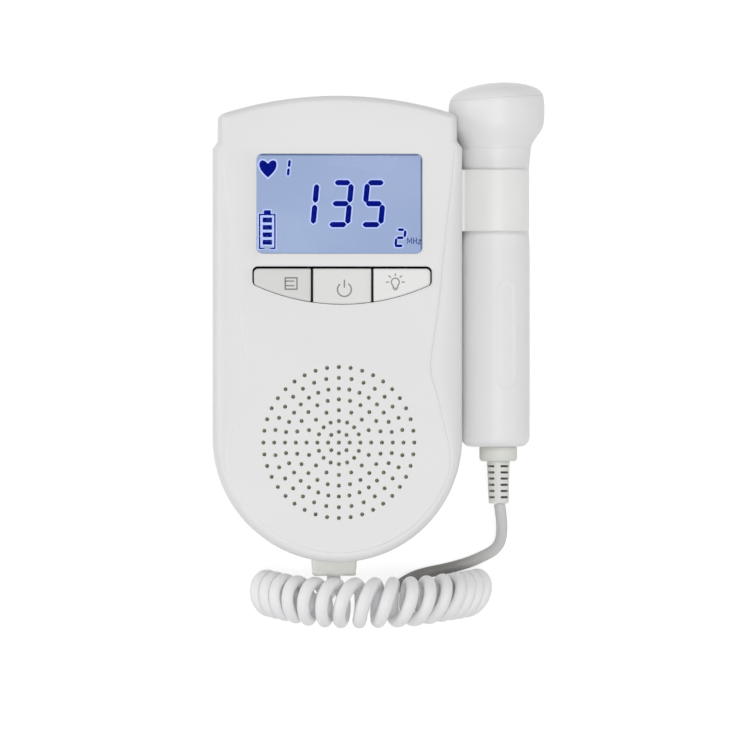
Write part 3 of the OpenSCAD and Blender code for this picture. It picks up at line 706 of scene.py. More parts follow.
def build_front():
    face_z, in_z = 33.6, 31.6

    def crease(y):
        return table(CREASE, y)

    def deep(y):
        return 0.26 * table(CREASE_DEPTH, y)

    rings = [ring(2.0, 18.06), ring(0.24, 18.06), ring(0.0, 18.3), ring(0.03, 21.0), ring(0.09, 25.0), ring(0.15, 29.2)]
    power = 2.3
    for u in (14, 27, 39, 50, 60, 69, 77, 84):
        c, s = math.cos(math.radians(u)) ** (2 / power), math.sin(math.radians(u)) ** (2 / power)
        rings.append(ring(lambda y, c=c: (crease(y) - 0.28) - (crease(y) - 0.43) * c, lambda y, s=s: 29.2 + (face_z - 0.03 - deep(y) - 29.2) * s))
    rings.append(ring(lambda y: crease(y) - 0.28, lambda y: face_z - 0.03 - deep(y)))
    rings.append(ring(lambda y: crease(y) - 0.10, lambda y: face_z - 0.03 - deep(y) - 0.03 * table(CREASE_DEPTH, y)))
    rings.append(ring(lambda y: crease(y) + 0.02, lambda y: face_z - 0.02 - deep(y) - 0.01 * table(CREASE_DEPTH, y)))
    rings.append(ring(lambda y: crease(y) + 0.12, lambda y: face_z - 0.01 - deep(y) * 0.45))
    rings.append(ring(lambda y: crease(y) + 0.26, lambda y: face_z - deep(y) * 0.1))
    rings.append(ring(lambda y: crease(y) + 0.46, face_z))
    rings.append(ring(lambda y: crease(y) + 1.0, face_z))
    outer_last = len(rings) - 1
    inner = [ring(lambda y: crease(y) + 1.0, in_z), ring(2.6, 28.6), ring(2.0, 26.5)]
    n = len(rings[0])

    verts = [p for r in rings for p in r]
    faces = []

    def bridge(a, b, count):
        for k in range(count):
            l = (k + 1) % count
            faces.append((a + k, a + l, b + l, b + k))

    for i in range(outer_last):
        bridge(i * n, (i + 1) * n, n)
    start_inner = len(verts)
    verts += [p for r in inner for p in r]
    bridge(start_inner, start_inner + n, n)
    bridge(start_inner + n, start_inner + 2 * n, n)
    bridge(start_inner + 2 * n, 0, n)

    # openings: each is a stack of loops from the face down to the inner side
    openings = []
    w = [(0.22, face_z), (0.07, face_z - 0.07), (0.0, face_z - 0.22), (0.0, in_z + 0.2), (0.3, in_z)]
    openings.append([(rounded(-23.75 - g, 24.15 + g, 53.3 - g, 82.1 + g, 1.8 + g), z) for g, z in w])
    k = [(0.22, face_z), (0.07, face_z - 0.07), (0.0, face_z - 0.22), (0.0, in_z + 0.2), (0.22, in_z)]
    openings.append([(key_loop(KX - 25.9, KX + 25.9, KEY_TOP_Y, KEY_ARC_R, 1.5, -g), z) for g, z in k])
    for ring_no, count in enumerate(HOLES_IN_RING):
        for i in range(count):
            a = 2 * math.pi * i / count
            cx, cy = PITCH * ring_no * math.sin(a), GRILLE_Y + PITCH * ring_no * math.cos(a)
            openings.append([(circle(cx, cy, HOLE_R + g, 18), z) for g, z in ((0.09, face_z), (0.0, face_z - 0.09), (0.0, in_z + 0.09), (0.09, in_z))])

    flat = [Vector((x, y)) for x, y, z in rings[-1]]
    owner = [-1] * n
    edges = [(i, (i + 1) % n) for i in range(n)]
    for o_no, stack in enumerate(openings):
        base = len(flat)
        loop = stack[0][0]
        flat += [Vector(p) for p in loop]
        owner += [o_no] * len(loop)
        edges += [(base + i, base + (i + 1) % len(loop)) for i in range(len(loop))]
    out_v, _, out_f, orig_v, _, _ = delaunay_2d_cdt(flat, edges, [], 1, 1e-7)
    assert len(out_v) == len(flat), (len(out_v), len(flat))
    back = [o[0] for o in orig_v]
    tris = []
    for f in out_f:
        ids = [back[i] for i in f]
        own = {owner[i] for i in ids}
        if len(own) == 1 and -1 not in own:
            continue
        tris.append(ids)

    top_of, low_of = {}, {}
    for i in range(n):
        top_of[i] = outer_last * n + i
        low_of[i] = start_inner + i
    at = n
    for stack in openings:
        count = len(stack[0][0])
        starts = []
        for loop, z in stack:
            starts.append(len(verts))
            verts += [(x, y, z) for x, y in loop]
        for a, b in zip(starts, starts[1:]):
            bridge(a, b, count)
        for i in range(count):
            top_of[at + i] = starts[0] + i
            low_of[at + i] = starts[-1] + i
        at += count
    for ids in tris:
        faces.append(tuple(top_of[i] for i in ids))
        faces.append(tuple(low_of[i] for i in ids[::-1]))
    shell = make("front_shell_skin", verts, faces)

    # posts for the casing and board screws, then the room for the probe's head and clip
    for x, y in ((-19, -23.5), (19, -23.5), (-27.5, 36), (27.5, 36), (-24, 88), (24, 88)):
        cut(shell, turned("post", [(1.0, 18.02), (3.2, 18.02), (3.25, 31.8), (1.0, 31.8)], 32, (x, y)), "UNION")
    inside = plain_case("inside", 0.5, OUT_LEVELS)
    upper = box("upper", (-60, -60, 18.06), (60, 160, 31.7))
    cut(inside, upper, "INTERSECT")
    for skin in side_room(1.8, "skin"):
        cut(skin, inside, "INTERSECT", keep=True)
        cut(shell, skin, "UNION")
    bpy.data.objects.remove(inside)
    for room in side_room(0.0):
        cut(shell, room)
    return shell


front = build_front()
finish_piece(front, "unit", ["front_shell"], CASING, angle=32)


# ---------------------------------------------------------------- rear shell and battery door

SCREWS = ((-19, -23.5), (19, -23.5), (-27.5, 36), (27.5, 36), (-24, 88), (24, 88))
FEET = ((-22, -11), (22, -11), (-26, 77), (26, 77))


def build_rear():
    levels = OUT_LEVELS[:11] + [(0.02, 17.55), (0.24, 17.94)]
    shell = loft("rear_shell_skin", [ring(d, z) for d, z in levels])
    cavity = loft("cavity", [ring(d, z) for d, z in inner_levels(2.0)])
    cut(shell, cavity)
    for x, y in SCREWS:
        cut(shell, turned("post", [(0, 1.4), (3.6, 1.4), (3.6, 17.94), (0, 17.94)], 40, (x, y)), "UNION")
    inside = plain_case("inside", 0.5, OUT_LEVELS)
    walls = box("walls", (-19, 36.1, 3.4), (19, 95.9, 19.9))
    cut(walls, box("bay", (-17.5, 37.6, -2), (17.5, 94.4, 18.4)))
    cut(walls, inside, "INTERSECT", keep=True)
    cut(shell, walls, "UNION")
    hull = plain_case("hull", 0.05, OUT_LEVELS)
    for s in (-1, 1):
        rail = box("rail", (18.81 if s > 0 else -22.5, 34.0, 1.0), (22.5 if s > 0 else -18.81, 104, 4.2))
        cut(rail, hull, "INTERSECT", keep=True)
        cut(shell, rail, "UNION")
    bpy.data.objects.remove(hull)
    lower = box("lower", (-60, -60, 0.4), (60, 160, 17.94))
    cut(inside, lower, "INTERSECT")
    for skin in list(side_room(1.8, "skin")):
        cut(skin, inside, "INTERSECT", keep=True)
        cut(shell, skin, "UNION")
    thumb = turned("thumb", [(0, 4.4 - 1.8), (15.8, 4.4 - 1.8), (15.8, 15 + 1.8), (0, 15 + 1.8)], 120, (-48.2, 13))
    cut(thumb, inside, "INTERSECT")
    cut(shell, thumb, "UNION")

    # openings
    cut(shell, turned("thumb", [(0, 4.4), (13.6, 4.4), (14.0, 4.8), (14.0, 14.6), (13.6, 15.0), (0, 15.0)], 120, (-48.2, 13)))
    for room in side_room(0.0):
        cut(shell, room)
    for x, y in SCREWS:
        cut(shell, turned("sink", [(0, 0), (3.1, 0), (3.0, 0.75), (2.7, 1.15), (2.7, 10), (1.3, 10), (1.3, 30), (0, 30)], 40, (x, y)))
    for x, y in FEET:
        cut(shell, turned("foot", [(0, -1), (3.85, -1), (3.8, 0.75), (3.6, 0.95), (3.6, 1.3), (0, 1.3)], 48, (x, y)))
    cut(shell, box("door_room", (-18.8, 34.8, -1), (18.8, 115, 3.3)))
    cut(shell, box("door_slot", (-20.6, 34.8, 1.7), (20.6, 115.1, 3.31)))
    cut(shell, turned("wheel", [(0, 8.1), (7.1, 8.1), (7.1, 11.3), (0, 11.3)], 72, (-28.9, 13)))
    jack = turned("jack", [(0, -48), (3.9, -48), (3.5, -35.9), (3.1, -35.3), (3.1, -30), (0, -30)], 48, (25.5, 9.6), axis="x")
    cut(shell, jack)
    mouth = loft("mouth", [[(x, y, z) for x, z in rounded(-7.0 - g, 6.6 + g, 2.0 - g, 10.5 + g, 1.2 + g, 5)]
                           for y, g in ((-45, 0.6), (-36.2, 0.55), (-35.6, 0.0), (-21.5, 0.0))])
    cut(shell, mouth)
    for y, z in ((64.5, 9.8), (73.5, 9.8)):
        cut(shell, turned("pilot", [(0, 30), (1.05, 30), (1.05, 38), (0, 38)], 24, (y, z), axis="x"))
    return shell


def build_door():
    door = box("door", (-18.5, 35, -1), (18.5, 115, 3.1))
    tongues = box("tongues", (-20.3, 35.01, 1.9), (20.3, 115.01, 3.1001))
    cut(door, tongues, "UNION")
    hull = plain_case("hull", 0.0, OUT_LEVELS)
    cut(door, hull, "INTERSECT")
    soften(door, 0.22, angle=50, segments=2)
    # finger grooves and an arrow that shows the way off
    for k in range(6):
        y = 78 + 2.2 * k
        half = 8.0 - 0.12 * (k - 2.5) ** 2
        loop = rounded(-half, half, y, y + 1.1, 0.5, 4)
        cut(door, loft("groove", [[(x * (1 - s * 0.02), y + 0.55 + (v - y - 0.55) * (1 - s), z) for x, v in loop] for s, z in ((-0.25, 0.4), (0.0, 0.8), (0.25, 1.1), (0.6, 1.22))]))
    arrow = [(0, 73.5), (-3.2, 69.6), (-1.3, 69.6), (-1.3, 64.5), (1.3, 64.5), (1.3, 69.6), (3.2, 69.6)]
    cut(door, prism("arrow", arrow, 0.2, 1.05))
    return door


finish_piece(build_rear(), "unit", ["rear_shell"], BACK, angle=32)
finish_piece(build_door(), "door", ["battery_door"], BACK, angle=32)


# ---------------------------------------------------------------- clip

def build_clip():
    y0, y1, r_in, r_out = 59.9, 77.8, 10.25, 12.2
    mid, half, thick = (y0 + y1) / 2, (y1 - y0) / 2, (r_out - r_in) / 2
    r_mid = (r_in + r_out) / 2
    a0, a1 = 37.5, 322.5
    arcs = [a0 + (a1 - a0) * i / 90 for i in range(91)]
    extra = [0.15, 0.4, 0.8, 1.3, 2.0, 3.0, 4.2, 5.6, 7.0]
    arcs = sorted(set([round(a, 4) for a in arcs] + [round(a0 + e, 4) for e in extra] + [round(a1 - e, 4) for e in extra]))
    rings = []
    for a in arcs:
        s = math.radians(min(a - a0, a1 - a)) * r_mid
        rc, rt = 1.5, 0.7
        h = half - (rc - math.sqrt(max(rc**2 - (rc - s) ** 2, 0.0)) if s < rc else 0)
        t = thick - (rt - math.sqrt(max(rt**2 - (rt - s) ** 2, 0.0)) if s < rt else 0)
        h, t = max(h, half - rc + 0.05), max(t, thick - rt + 0.05)
        e = min(0.42, t * 0.6)
        loop = rounded(-t, t, -h, h, e, 4)
        c, n = math.cos(math.radians(a)), math.sin(math.radians(a))
        rings.append([(PROBE_X + (r_mid + u) * c, mid + v, PROBE_Z + (r_mid + u) * n) for u, v in loop])
    clip = loft("probe_clip_body", rings)
    base = box("base", (34.6, y0 + 0.001, 8.2), (38.6, y1 - 0.001, 23.8))
    soften(base, 0.4, angle=50)
    cut(clip, base, "UNION")
    cut(clip, turned("bore", [(0, 50), (r_in, 50), (r_in, 90), (0, 90)], 128, axis="probe"))
    return clip


finish_piece(build_clip(), "unit", ["probe_clip"], CLIP, angle=36)


# ---------------------------------------------------------------- probe

def lean_head(x, y, h):
    """The head leans: its face is a little higher on the outer side."""
    w = ease(88, 99, h)
    return x + 0.35 * ease(84.5, 92, h), y, h + 0.064 * x * w


def build_probe():
    body = [(2.3, 1.2), (2.3, -2.55), (2.5, -2.6), (6.4, -2.6)] + arc(7.0, 0.4, 3.0, 3.0, -88, 0, 14)
    body += [(10, 6), (10, 16), (10, 30), (10, 44), (10, 54), (9.97, 56), (9.9, 57.5), (9.8, 59), (9.75, 60.5), (9.75, 66), (9.75, 72), (9.75, 77)]
    body += [(9.79, 78.5), (9.9, 79.8), (10.05, 81), (10.18, 82), (10.26, 83), (10.31, 84.04), (10.27, 84.09), (10.22, 84.09), (10.22, 83.8)]
    body += [(8.5, 83.8), (8.5, 3.0), (6, 1.2)]
    handle = turned("probe_handle_body", body, 128, axis="probe")
    # bare label recess
    label = []
    for r, g in ((9.6, -0.12), (9.64, 0.0), (9.93, 0.02), (10.08, 0.16), (11.2, 0.26)):
        loop = rounded(-2.8 - g, 2.8 + g, 14.3 - g, 45.8 + g, 2.79 + g, 14)
        label.append([(PROBE_X + r * math.sin(u / 10 + math.radians(15)), v, PROBE_Z + r * math.cos(u / 10 + math.radians(15))) for u, v in loop])
    cutter = loft("label", label, caps=False)
    bm = bmesh.new()
    bm.from_mesh(cutter.data)
    bm.verts.ensure_lookup_table()
    n = len(label[0])
    ends = []
    for base, r in ((0, 9.6), ((len(label) - 1) * n, 11.2)):
        left = [bm.verts[base + k] for k in range(n // 4, 3 * n // 4)]
        right = [bm.verts[base + (k if k >= 0 else k + n)] for k in range(n // 4 - 1, -n // 4 - 1, -1)]
        ends.append((r, left, right))
    for r, left, right in ends:
        # each cap follows the curve, in strips from side to side
        grid = []
        for i, (a, b) in enumerate(zip(left, right)):
            mid = []
            if 0 < i < len(left) - 1:
                aa = math.atan2(a.co.x - PROBE_X, a.co.z - PROBE_Z)
                bb = math.atan2(b.co.x - PROBE_X, b.co.z - PROBE_Z)
                for j in range(1, 6):
                    ang = aa + (bb - aa) * j / 6
                    mid.append(bm.verts.new((PROBE_X + r * math.sin(ang), a.co.y + (b.co.y - a.co.y) * j / 6, PROBE_Z + r * math.cos(ang))))
            grid.append([a] + mid + [b])
        for p, q in zip(grid, grid[1:]):
            if len(p) == len(q):
                for j in range(len(p) - 1):
                    bm.faces.new((p[j], p[j + 1], q[j + 1], q[j]))
            else:
                bm.faces.new(p + q[::-1])
    bmesh.ops.recalc_face_normals(bm, faces=bm.faces)
    bm.to_mesh(cutter.data)
    bm.free()
    cut(handle, cutter)
    finish_piece(handle, "probe", ["probe_handle"], PROBE, angle=34)

    head = [(6.8, 79.5), (8.2, 79.5), (8.2, 84.4), (10.22, 84.4), (10.22, 84.12), (10.3, 84.12), (10.36, 84.17), (10.42, 84.6), (10.6, 85.2), (11.1, 86.2), (11.9, 87.4), (12.7, 88.6)]
    head += [(13.25, 89.6), (13.55, 90.4), (13.78, 91.3), (13.9, 92.4), (13.95, 94), (13.95, 95.4), (13.93, 96.4), (13.86, 97.2), (13.72, 98.0), (13.6, 98.5), (13.52, 98.6), (12.3, 98.6), (12.3, 91.6), (8.6, 86), (6.8, 86)]
    head = turned("probe_head_body", head, 128, axis="probe", pinch=lean_head)
    finish_piece(head, "probe", ["probe_head"], PROBE, angle=30)

    face = [(0, 101.4), (9, 100.2), (12.0, 99.2), (12.2, 98.63), (13.5, 98.63), (13.56, 98.7), (13.48, 98.95), (13.3, 99.3), (13.05, 99.68), (12.7, 100.1), (12.2, 100.52), (11.6, 100.92)]
    face += [(10.8, 101.32), (9.8, 101.72), (8.6, 102.12), (7.2, 102.48), (5.6, 102.8), (4, 103.02), (2, 103.18), (0, 103.24)]
    face = turned("probe_face_cap", face, 128, axis="probe", pinch=lean_head)
    finish_piece(face, "probe", ["probe_face"], HEAD_FACE, angle=30)


build_probe()


# ---------------------------------------------------------------- strain relief

def build_relief():
    collar = turned("collar_ring", [(2.3, -2.66), (5.3, -2.66), (5.5, -2.9), (5.5, -5.7), (5.43, -6.05), (5.25, -6.4), (4.9, -6.78), (4.6, -6.8), (2.3, -6.8)], 72, axis="probe")
    collar.data.transform(Matrix.Translation((0.85, 0, 0)))
    finish_piece(collar, "probe", ["relief_collar"], COLLAR, angle=40)

    sleeve = [(0, -19.05), (2.6, -19.05), (2.83, -18.95), (2.92, -18.7), (2.98, -17.5), (3.04, -15), (3.1, -13), (3.19, -10), (3.27, -8), (3.34, -6.9), (3.3, -6.85)]
    sleeve += [(2.2, -6.85), (2.2, 1.4), (4.4, 1.4), (4.4, 2.8), (0, 2.8)]
    relief = turned("relief_sleeve", sleeve, 72, axis="probe")
    for k in range(6):
        y = -8.2 - 1.8 * k
        for a, b in ((-4.0, -1.35), (0.4, 2.75 - 0.05 * k)):
            loop = rounded(PROBE_X + a, PROBE_X + b, y - 0.33, y + 0.33, 0.24, 4)
            cut(relief, prism("slot", loop, PROBE_Z + 0.75, PROBE_Z + 6))
            cut(relief, prism("slot", loop, PROBE_Z - 6, PROBE_Z - 0.75))
    relief.data.materials.append(VINYL)
    relief.data.materials.append(SLOT_SHADE)
    # the faces inside the slots take the darker vinyl, which is painted shade
    for face in relief.data.polygons:
        c = face.center
        far = math.hypot(c.x - PROBE_X, c.z - PROBE_Z)
        face.material_index = 1 if -17.9 < c.y < -7.4 and far < 3.34 - 0.033 * (-6.9 - c.y) - 0.16 else 0
    for v in relief.data.vertices:
        v.co.x += 0.85 + 0.012 * max(0.0, -6.9 - v.co.y)
    finish_piece(relief, "probe", ["strain_relief"], None, angle=36)


build_relief()


# ---------------------------------------------------------------- plug

def build_plug():
    cx = -0.2
    rings = []
    for y, w, g, r in (
        (-22.0, 6.2, 0.3, 0.9), (-22.3, 6.5, 0.0, 1.1), (-30, 6.5, 0.0, 1.1), (-36.5, 6.5, 0.0, 1.1), (-38.6, 6.33, 0.0, 1.1),
        (-38.75, 6.28, 0.12, 1.0), (-38.85, 6.08, 0.28, 0.9), (-39.0, 6.08, 0.28, 0.9), (-39.1, 6.24, 0.12, 1.0), (-39.2, 6.3, 0.02, 1.1),
        (-39.7, 6.26, 0.05, 1.1), (-40.0, 6.15, 0.2, 1.0), (-40.2, 5.8, 0.5, 0.8),
    ):
        rings.append([(cx + u, y, 6.2 + v) for u, v in rounded(-w, w, -4 + g, 4 - g, r, 6)])
    plug = loft("plug_body", rings)
    boss = loft("boss", [[(cx + r * math.cos(2 * math.pi * k / 40), y, 4.2 + r * math.sin(2 * math.pi * k / 40)) for k in range(40)] for y, r in ((-39.8, 2.0), (-41.7, 2.0), (-41.9, 1.95), (-42.0, 1.8))])
    cut(plug, boss, "UNION")
    return finish_piece(plug, "unit", ["cord_plug"], PLUG, angle=36)


plug = build_plug()


# ---------------------------------------------------------------- flat signs

def strip(points, width, closed=False):
    """Outline of a line of the given width."""
    pts = [Vector((p[0], p[1])) for p in points]
    n = len(pts)
    left, right = [], []
    for i, p in enumerate(pts):
        a = pts[(i - 1) % n] if closed or i else None
        b = pts[(i + 1) % n] if closed or i < n - 1 else None
        d1 = (p - a).normalized() if a is not None else None
        d2 = (b - p).normalized() if b is not None else None
        if d1 is None:
            d1 = d2
        if d2 is None:
            d2 = d1
        t = (d1 + d2).normalized()
        normal = Vector((-t.y, t.x))
        k = width / 2 / max(0.35, normal.dot(Vector((-d1.y, d1.x))))
        left.append(p + normal * k)
        right.append(p - normal * k)
    return left, right


def flat_line(name, points, width, z0, z1, closed=False):
    left, right = strip(points, width, closed)
    rings = []
    for l, r in zip(left, right):
        rings.append([(l.x, l.y, z0), (l.x, l.y, z1), (r.x, r.y, z1), (r.x, r.y, z0)])
    return loft(name, rings, closed=closed, caps=not closed)


def grown(loop, g):
    """Loop moved outward by g."""
    pts = [Vector((p[0], p[1])) for p in loop]
    area = sum(a.x * b.y - b.x * a.y for a, b in zip(pts, pts[1:] + pts[:1]))
    sign = 1 if area > 0 else -1
    out = []
    n = len(pts)
    for i, p in enumerate(pts):
        d1 = (p - pts[i - 1]).normalized()
        d2 = (pts[(i + 1) % n] - p).normalized()
        n1 = Vector((d1.y, -d1.x)) * sign
        n2 = Vector((d2.y, -d2.x)) * sign
        m = n1 + n2
        if m.length < 1e-6:
            m = n1
        m.normalize()
        out.append(tuple(p + m * (g / max(0.55, m.dot(n1)))))
    return out


# ---------------------------------------------------------------- keys

def photo_mm(px, py, lift):
    """A point of the picture on a face at height lift."""
    return ((px - 336.8) * 0.29 - (lift - 20) * 0.048, (438 - py) * 0.29)


def build_keys():
    top_z = 34.2
    spans = {"menu": (-24.5, -8.12), "power": (-7.42, 9.3), "light": (10.0, 26.38)}
    corners = {"menu": (1.25, 0.35), "power": (0.35, 0.35), "light": (0.35, 1.25)}
    nodes = {"menu": "menu_button", "power": "power_button", "light": "light_button"}
    bodies = {"menu": "menu_key", "power": "power_key", "light": "light_key"}
    lift = top_z

    def at(px, py):
        return photo_mm(px, py, lift)

    signs = {"menu": [], "power": [], "light": []}
    # list sign
    sq = [at(284.9 + 0.8, 290.5 - 0.8), at(298.1 - 0.8, 290.5 - 0.8), at(298.1 - 0.8, 277.6 + 0.8), at(284.9 + 0.8, 277.6 + 0.8)]
    signs["menu"].append((sq, 0.42, True))
    for y in (281.6, 286.2):
        signs["menu"].append(([at(285.6, y), at(294.6, y)], 0.36, False))
    # on-off sign
    c = at(344.5, 290.0)
    signs["power"].append(([(c[0] + 2.0 * math.sin(math.radians(a)), c[1] + 2.0 * math.cos(math.radians(a))) for a in range(34, 327, 9)], 0.4, False))
    signs["power"].append(([(c[0], c[1] + 0.5), (c[0], c[1] + 2.85)], 0.4, False))
    # lamp sign
    c = at(395.2, 282.6)
    bulb = [(c[0] + 1.15 * math.sin(math.radians(a)), c[1] + 1.15 * math.cos(math.radians(a))) for a in range(-145, 146, 14)]
    bulb = [(c[0] - 0.62, c[1] - 1.75)] + bulb + [(c[0] + 0.62, c[1] - 1.75)]
    signs["light"].append((bulb, 0.34, True))
    signs["light"].append(([(c[0] - 0.55, c[1] - 2.2), (c[0] + 0.55, c[1] - 2.2)], 0.3, False))
    for a in (-90, -45, 0, 45, 90):
        s, k = math.sin(math.radians(a)), math.cos(math.radians(a))
        r1, r2 = (1.75, 2.5) if a == 0 else (1.8, 2.75)
        signs["light"].append(([(c[0] + r1 * s, c[1] + r1 * k), (c[0] + r2 * s, c[1] + r2 * k)], 0.32, False))

    for name, (x0, x1) in spans.items():
        steps = [(0.3, 30.3), (0.0, 30.5), (0.0, 33.6), (0.05, 33.82), (0.16, 33.98), (0.34, 34.1), (0.6, 34.175), (0.85, top_z), (1.3, top_z)]
        loops = [[(x, y, z) for x, y in key_loop(x0, x1, KEY_TOP_Y - 0.66, KEY_ARC_R - 0.14, corners[name], g)] for g, z in steps]
        key = loft("key_cap", loops)
        prints = [flat_line("print", pts, w, top_z - 0.05, top_z + 0.02, closed) for pts, w, closed in signs[name]]
        count = len(key.data.polygons)
        whole = join(nodes[name] + "_cap", [key] + prints)
        whole.data.materials.append(KEYS[name])
        whole.data.materials.append(PRINT)
        for i, p in enumerate(whole.data.polygons):
            p.material_index = 0 if i < count else 1
        finish_piece(whole, bodies[name], [nodes[name]], None, angle=40)


build_keys()


# ---------------------------------------------------------------- display

def bar(a, b, w):
    """A display bar from a to b with blunt round ends."""
    a, b = Vector(a), Vector(b)
    d = (b - a).normalized()
    q = Vector((-d.y, d.x)) * w / 2
    side = [(0.0, 0.14), (0.22, 0.42), (0.62, 0.84), (0.95, 1.0)]
    out = [a + d * w * 0.5 * u - q * v for u, v in side]
    out += [b - d * w * 0.5 * u - q * v for u, v in side[::-1]]
    out += [b - d * w * 0.5 * u + q * v for u, v in side]
    out += [a + d * w * 0.5 * u + q * v for u, v in side[::-1]]
    return [tuple(p) for p in out]


def build_display():
    lens = []
    for g, z in ((0.3, 30.85), (0.0, 31.0), (0.0, 31.5)):
        lens.append([(x, y, z) for x, y in rounded(-25.4 + g, 25.4 - g, 52.2 + g, 83.6 - g, 1.2, 6)])
    for g, z in ((0.0, 31.5), (0.0, 32.85), (0.12, 33.0), (0.4, 33.0)):
        lens.append([(x, y, z) for x, y in rounded(-23.6 + g, 24.0 - g, 53.45 + g, 81.95 - g, 1.7, 6)])
    finish_piece(loft("lens_plate", lens), "unit", ["lcd_window"], WINDOW, angle=30)

    low = loft("low_glass", [[(x, y, z) for x, y in rounded(-25.6 + g, 25.6 - g, 52.3 + g, 83.5 - g, 0.5, 3)] for g, z in ((0.1, 28.2), (0, 28.3), (0, 29.2), (0.1, 29.3))])
    high = loft("high_glass", [[(x, y, z) for x, y in rounded(-25.5 + g, 25.5 - g, 52.4 + g, 83.4 - g, 0.5, 3)] for g, z in ((0.1, 29.34), (0, 29.4), (0, 30.1), (0.1, 30.16))])
    film = loft("film", [[(x, y, z) for x, y in rounded(-25.2 + g, 25.2 - g, 52.8 + g, 83.1 - g, 0.3, 3)] for g, z in ((0, 30.16), (0, 30.36), (0.05, 30.39))])
    # painted shadow of the window's opening: a darker glowing border on the film, widest at the top and right
    shadow_bands = []
    for wide, x0, x1, y0, y1 in ((0.5, -25.0, 25.0, 81.62, 83.0), (0.4, 23.72, 25.0, 53.0, 83.0), (0.25, -25.0, -23.75, 53.0, 83.0), (0.25, -25.0, 25.0, 53.0, 53.42)):
        shadow_bands.append(box("band", (x0, y0, 30.38), (x1, y1, 30.4)))
    counts = [len(low.data.polygons) + len(high.data.polygons), len(film.data.polygons)]
    panel = join("display_cell", [low, high, film] + shadow_bands)
    for m in (CELL_GLASS, FILM, FILM_SHADOW):
        panel.data.materials.append(m)
    for i, p in enumerate(panel.data.polygons):
        p.material_index = 0 if i < counts[0] else (1 if i < sum(counts) else 2)
    finish_piece(panel, "unit", ["lcd_panel"], None, angle=30)

    lift = 30.5

    def at(px, py):
        return photo_mm(px, py, lift)

    loops = []

    def box_mark(x0, y0, x1, y1, halo=0.38):
        a, b = at(x0, y1), at(x1, y0)
        loops.append(([(a[0], a[1]), (b[0], a[1]), (b[0], b[1]), (a[0], b[1])], halo))

    # heart
    heart = []
    hx, hy = at(268.3, 169.4)
    for i in range(48):
        t = 2 * math.pi * i / 48
        wide = math.copysign(abs(math.sin(t)) ** 2.2, math.sin(t))
        heart.append((hx + 2.5 * wide, hy + 0.3 + 2.72 * (13 * math.cos(t) - 5 * math.cos(2 * t) - 2 * math.cos(3 * t) - 0.4 * math.cos(4 * t)) / 15.2))
    loops.append((heart, 0.42))
    # beats counter "1"
    loops.append((bar(at(290.0, 160.9), at(289.2, 168.0), 0.76), 0.3))
    loops.append((bar(at(289.0, 169.3), at(288.2, 176.6), 0.76), 0.3))
    # battery
    box_mark(264.2, 211.0, 271.2, 214.6, 0.3)
    for y0, y1 in ((218.2, 223.2), (225.6, 230.4), (233.0, 237.9), (240.4, 245.3)):
        box_mark(263.0, y0, 272.4, y1, 0.3)
    shell_line = [at(264.8, 248.9), at(260.0, 248.9), at(260.0, 215.3), at(275.2, 215.3), at(275.2, 248.9), at(270.6, 248.9)]
    lines = [(shell_line, 0.44)]
    # digits "135": top, upper right, lower right, bottom, lower left, upper left, middle
    w = 1.56
    lean_px = 0.096

    def digit(cx, top, low, half, keep, width, halo=0.36, inset=0.9):
        mid = (top + low) / 2

        def p(u, v):
            return at(cx + u + (mid - v) * lean_px, v)

        t, b = top + 1.72 * width, low - 1.72 * width
        bars = {
            "a": (p(-half + 0.6, t), p(half - 0.9, t)),
            "b": (p(half + 0.3, t + 1.5 * inset), p(half + 0.3, mid - 1.2 * inset)),
            "c": (p(half + 0.3, mid + 1.2 * inset), p(half + 0.3, b - inset)),
            "d": (p(-half - 0.8, b), p(half - 0.9, b)),
            "e": (p(-half, mid + 1.3 * inset), p(-half, b - inset)),
            "f": (p(-half, t + inset), p(-half, mid - 1.3 * inset)),
            "g": (p(-half + 0.4, mid), p(half - 0.6, mid)),
        }
        for k in keep:
            loops.append((bar(bars[k][0], bars[k][1], width), halo))

    digit(314.9 - 8.4, 181.0, 227.9, 8.4, "bc", w)
    digit(340.8, 180.8, 227.9, 8.4, "abcdg", w)
    digit(373.9, 180.8, 227.9, 8.4, "afgcd", w)
    digit(400.2, 228.9, 247.7, 4.0, "abged", 0.78, 0.3, inset=0.4)
    # small unit, drawn with strokes
    def stroke(points):
        lines.append(([at(x, y) for x, y in points], 0.22))

    x0, y0, y1 = 407.6, 244.4, 238.6
    stroke([(x0 - 0.6, y0), (x0 - 0.2, y1), (x0 + 1.7, y0 - 1.6), (x0 + 3.8, y1), (x0 + 4.0, y0)])
    stroke([(x0 + 5.7, y0), (x0 + 5.9, y1)])
    stroke([(x0 + 8.5, y0), (x0 + 8.7, y1)])
    stroke([(x0 + 5.8, 241.5), (x0 + 8.6, 241.5)])
    stroke([(x0 + 10.2, 240.4), (x0 + 12.9, 240.4), (x0 + 10.2, y0), (x0 + 13.0, y0)])

    marks, halos = [], []
    for loop, g in loops:
        marks.append(prism("mark", loop, 30.42, 30.5))
        halos.append(prism("halo", grown(loop, g), 30.385, 30.405))
    for pts, width in lines:
        marks.append(flat_line("mark", pts, width, 30.42, 30.49))
        if width > 0.3:
            halos.append(flat_line("halo", pts, width + 0.5, 30.385, 30.402))
    n_marks = sum(len(o.data.polygons) for o in marks)
    signs = join("display_signs", marks + halos)
    signs.data.materials.append(MARKS)
    signs.data.materials.append(HALO)
    for i, p in enumerate(signs.data.polygons):
        p.material_index = 0 if i < n_marks else 1
    finish_piece(signs, "unit", ["lcd_segments"], None, angle=30)


build_display()


# ---------------------------------------------------------------- stage

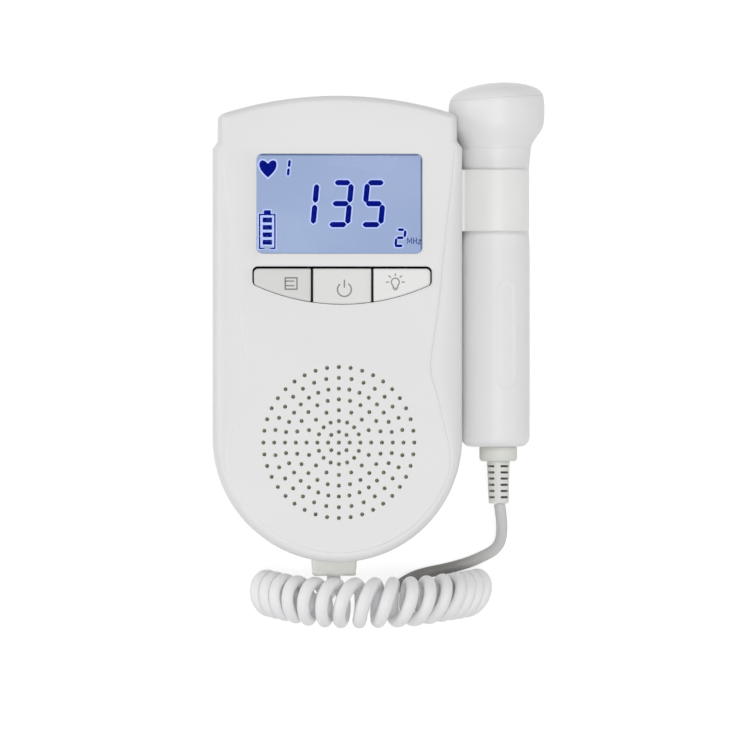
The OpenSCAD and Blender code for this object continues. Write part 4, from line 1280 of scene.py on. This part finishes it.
def build_stage():
    floor = make("floor", [(-2500, -2500, 0), (2500, -2500, 0), (2500, 2500, 0), (-2500, 2500, 0)], [(0, 1, 2, 3)])
    floor.data.transform(Matrix.Diagonal((0.001, 0.001, 0.001, 1)))
    m = bpy.data.materials.new("floor_white")
    m.use_nodes = True
    bs = m.node_tree.nodes["Principled BSDF"]
    bs.inputs["Base Color"].default_value = (0.6, 0.6, 0.6, 1)
    bs.inputs["Roughness"].default_value = 0.6
    bs.inputs["Specular IOR Level"].default_value = 0.2
    bs.inputs["Emission Color"].default_value = (1, 1, 1, 1)
    bs.inputs["Emission Strength"].default_value = 0.66
    floor.data.materials.append(m)
    floor.visible_diffuse = False

    world = bpy.data.worlds.new("studio")
    world.use_nodes = True
    t = world.node_tree
    bg = t.nodes["Background"]
    co = t.nodes.new("ShaderNodeTexCoord")
    part = t.nodes.new("ShaderNodeSeparateXYZ")
    ramp = t.nodes.new("ShaderNodeValToRGB")
    t.links.new(co.outputs["Generated"], part.inputs["Vector"])
    t.links.new(part.outputs["Z"], ramp.inputs["Fac"])
    t.links.new(ramp.outputs["Color"], bg.inputs["Color"])
    ramp.color_ramp.elements[0].position = 0.0
    ramp.color_ramp.elements[0].color = (0.95, 0.95, 0.95, 1)
    ramp.color_ramp.elements[1].position = 0.6
    ramp.color_ramp.elements[1].color = (1, 1, 1, 1)
    bg.inputs["Strength"].default_value = 0.42
    SCN.world = world

    def lamp(name, where, size, power, aim=(0, 20, 15)):
        data = bpy.data.lights.new(name, "AREA")
        data.shape = "RECTANGLE"
        data.size, data.size_y = size
        data.energy = power
        obj = bpy.data.objects.new(name, data)
        SCN.collection.objects.link(obj)
        obj.location = Vector(where)
        target = Vector(row(aim))
        obj.rotation_euler = (target - obj.location).to_track_quat("-Z", "Y").to_euler()

    lamp("overhead_near", (0.12, -0.5, 2.2), (0.6, 0.5), 8.6)
    lamp("overhead_far", (0.12, 0.8, 2.1), (0.6, 0.5), 7.4)
    lamp("left", (-1.6, 0.25, 0.5), (1.1, 0.9), 7.3)
    lamp("right", (1.5, 0.3, 0.9), (1.0, 0.9), 2.2)
    lamp("near", (0.0, -1.4, 0.8), (1.4, 0.9), 3.2)
    SCN.view_settings.view_transform = "Standard"
    SCN.view_settings.look = "None"
    SCN.view_settings.exposure = 0
    SCN.view_settings.gamma = 1


build_stage()
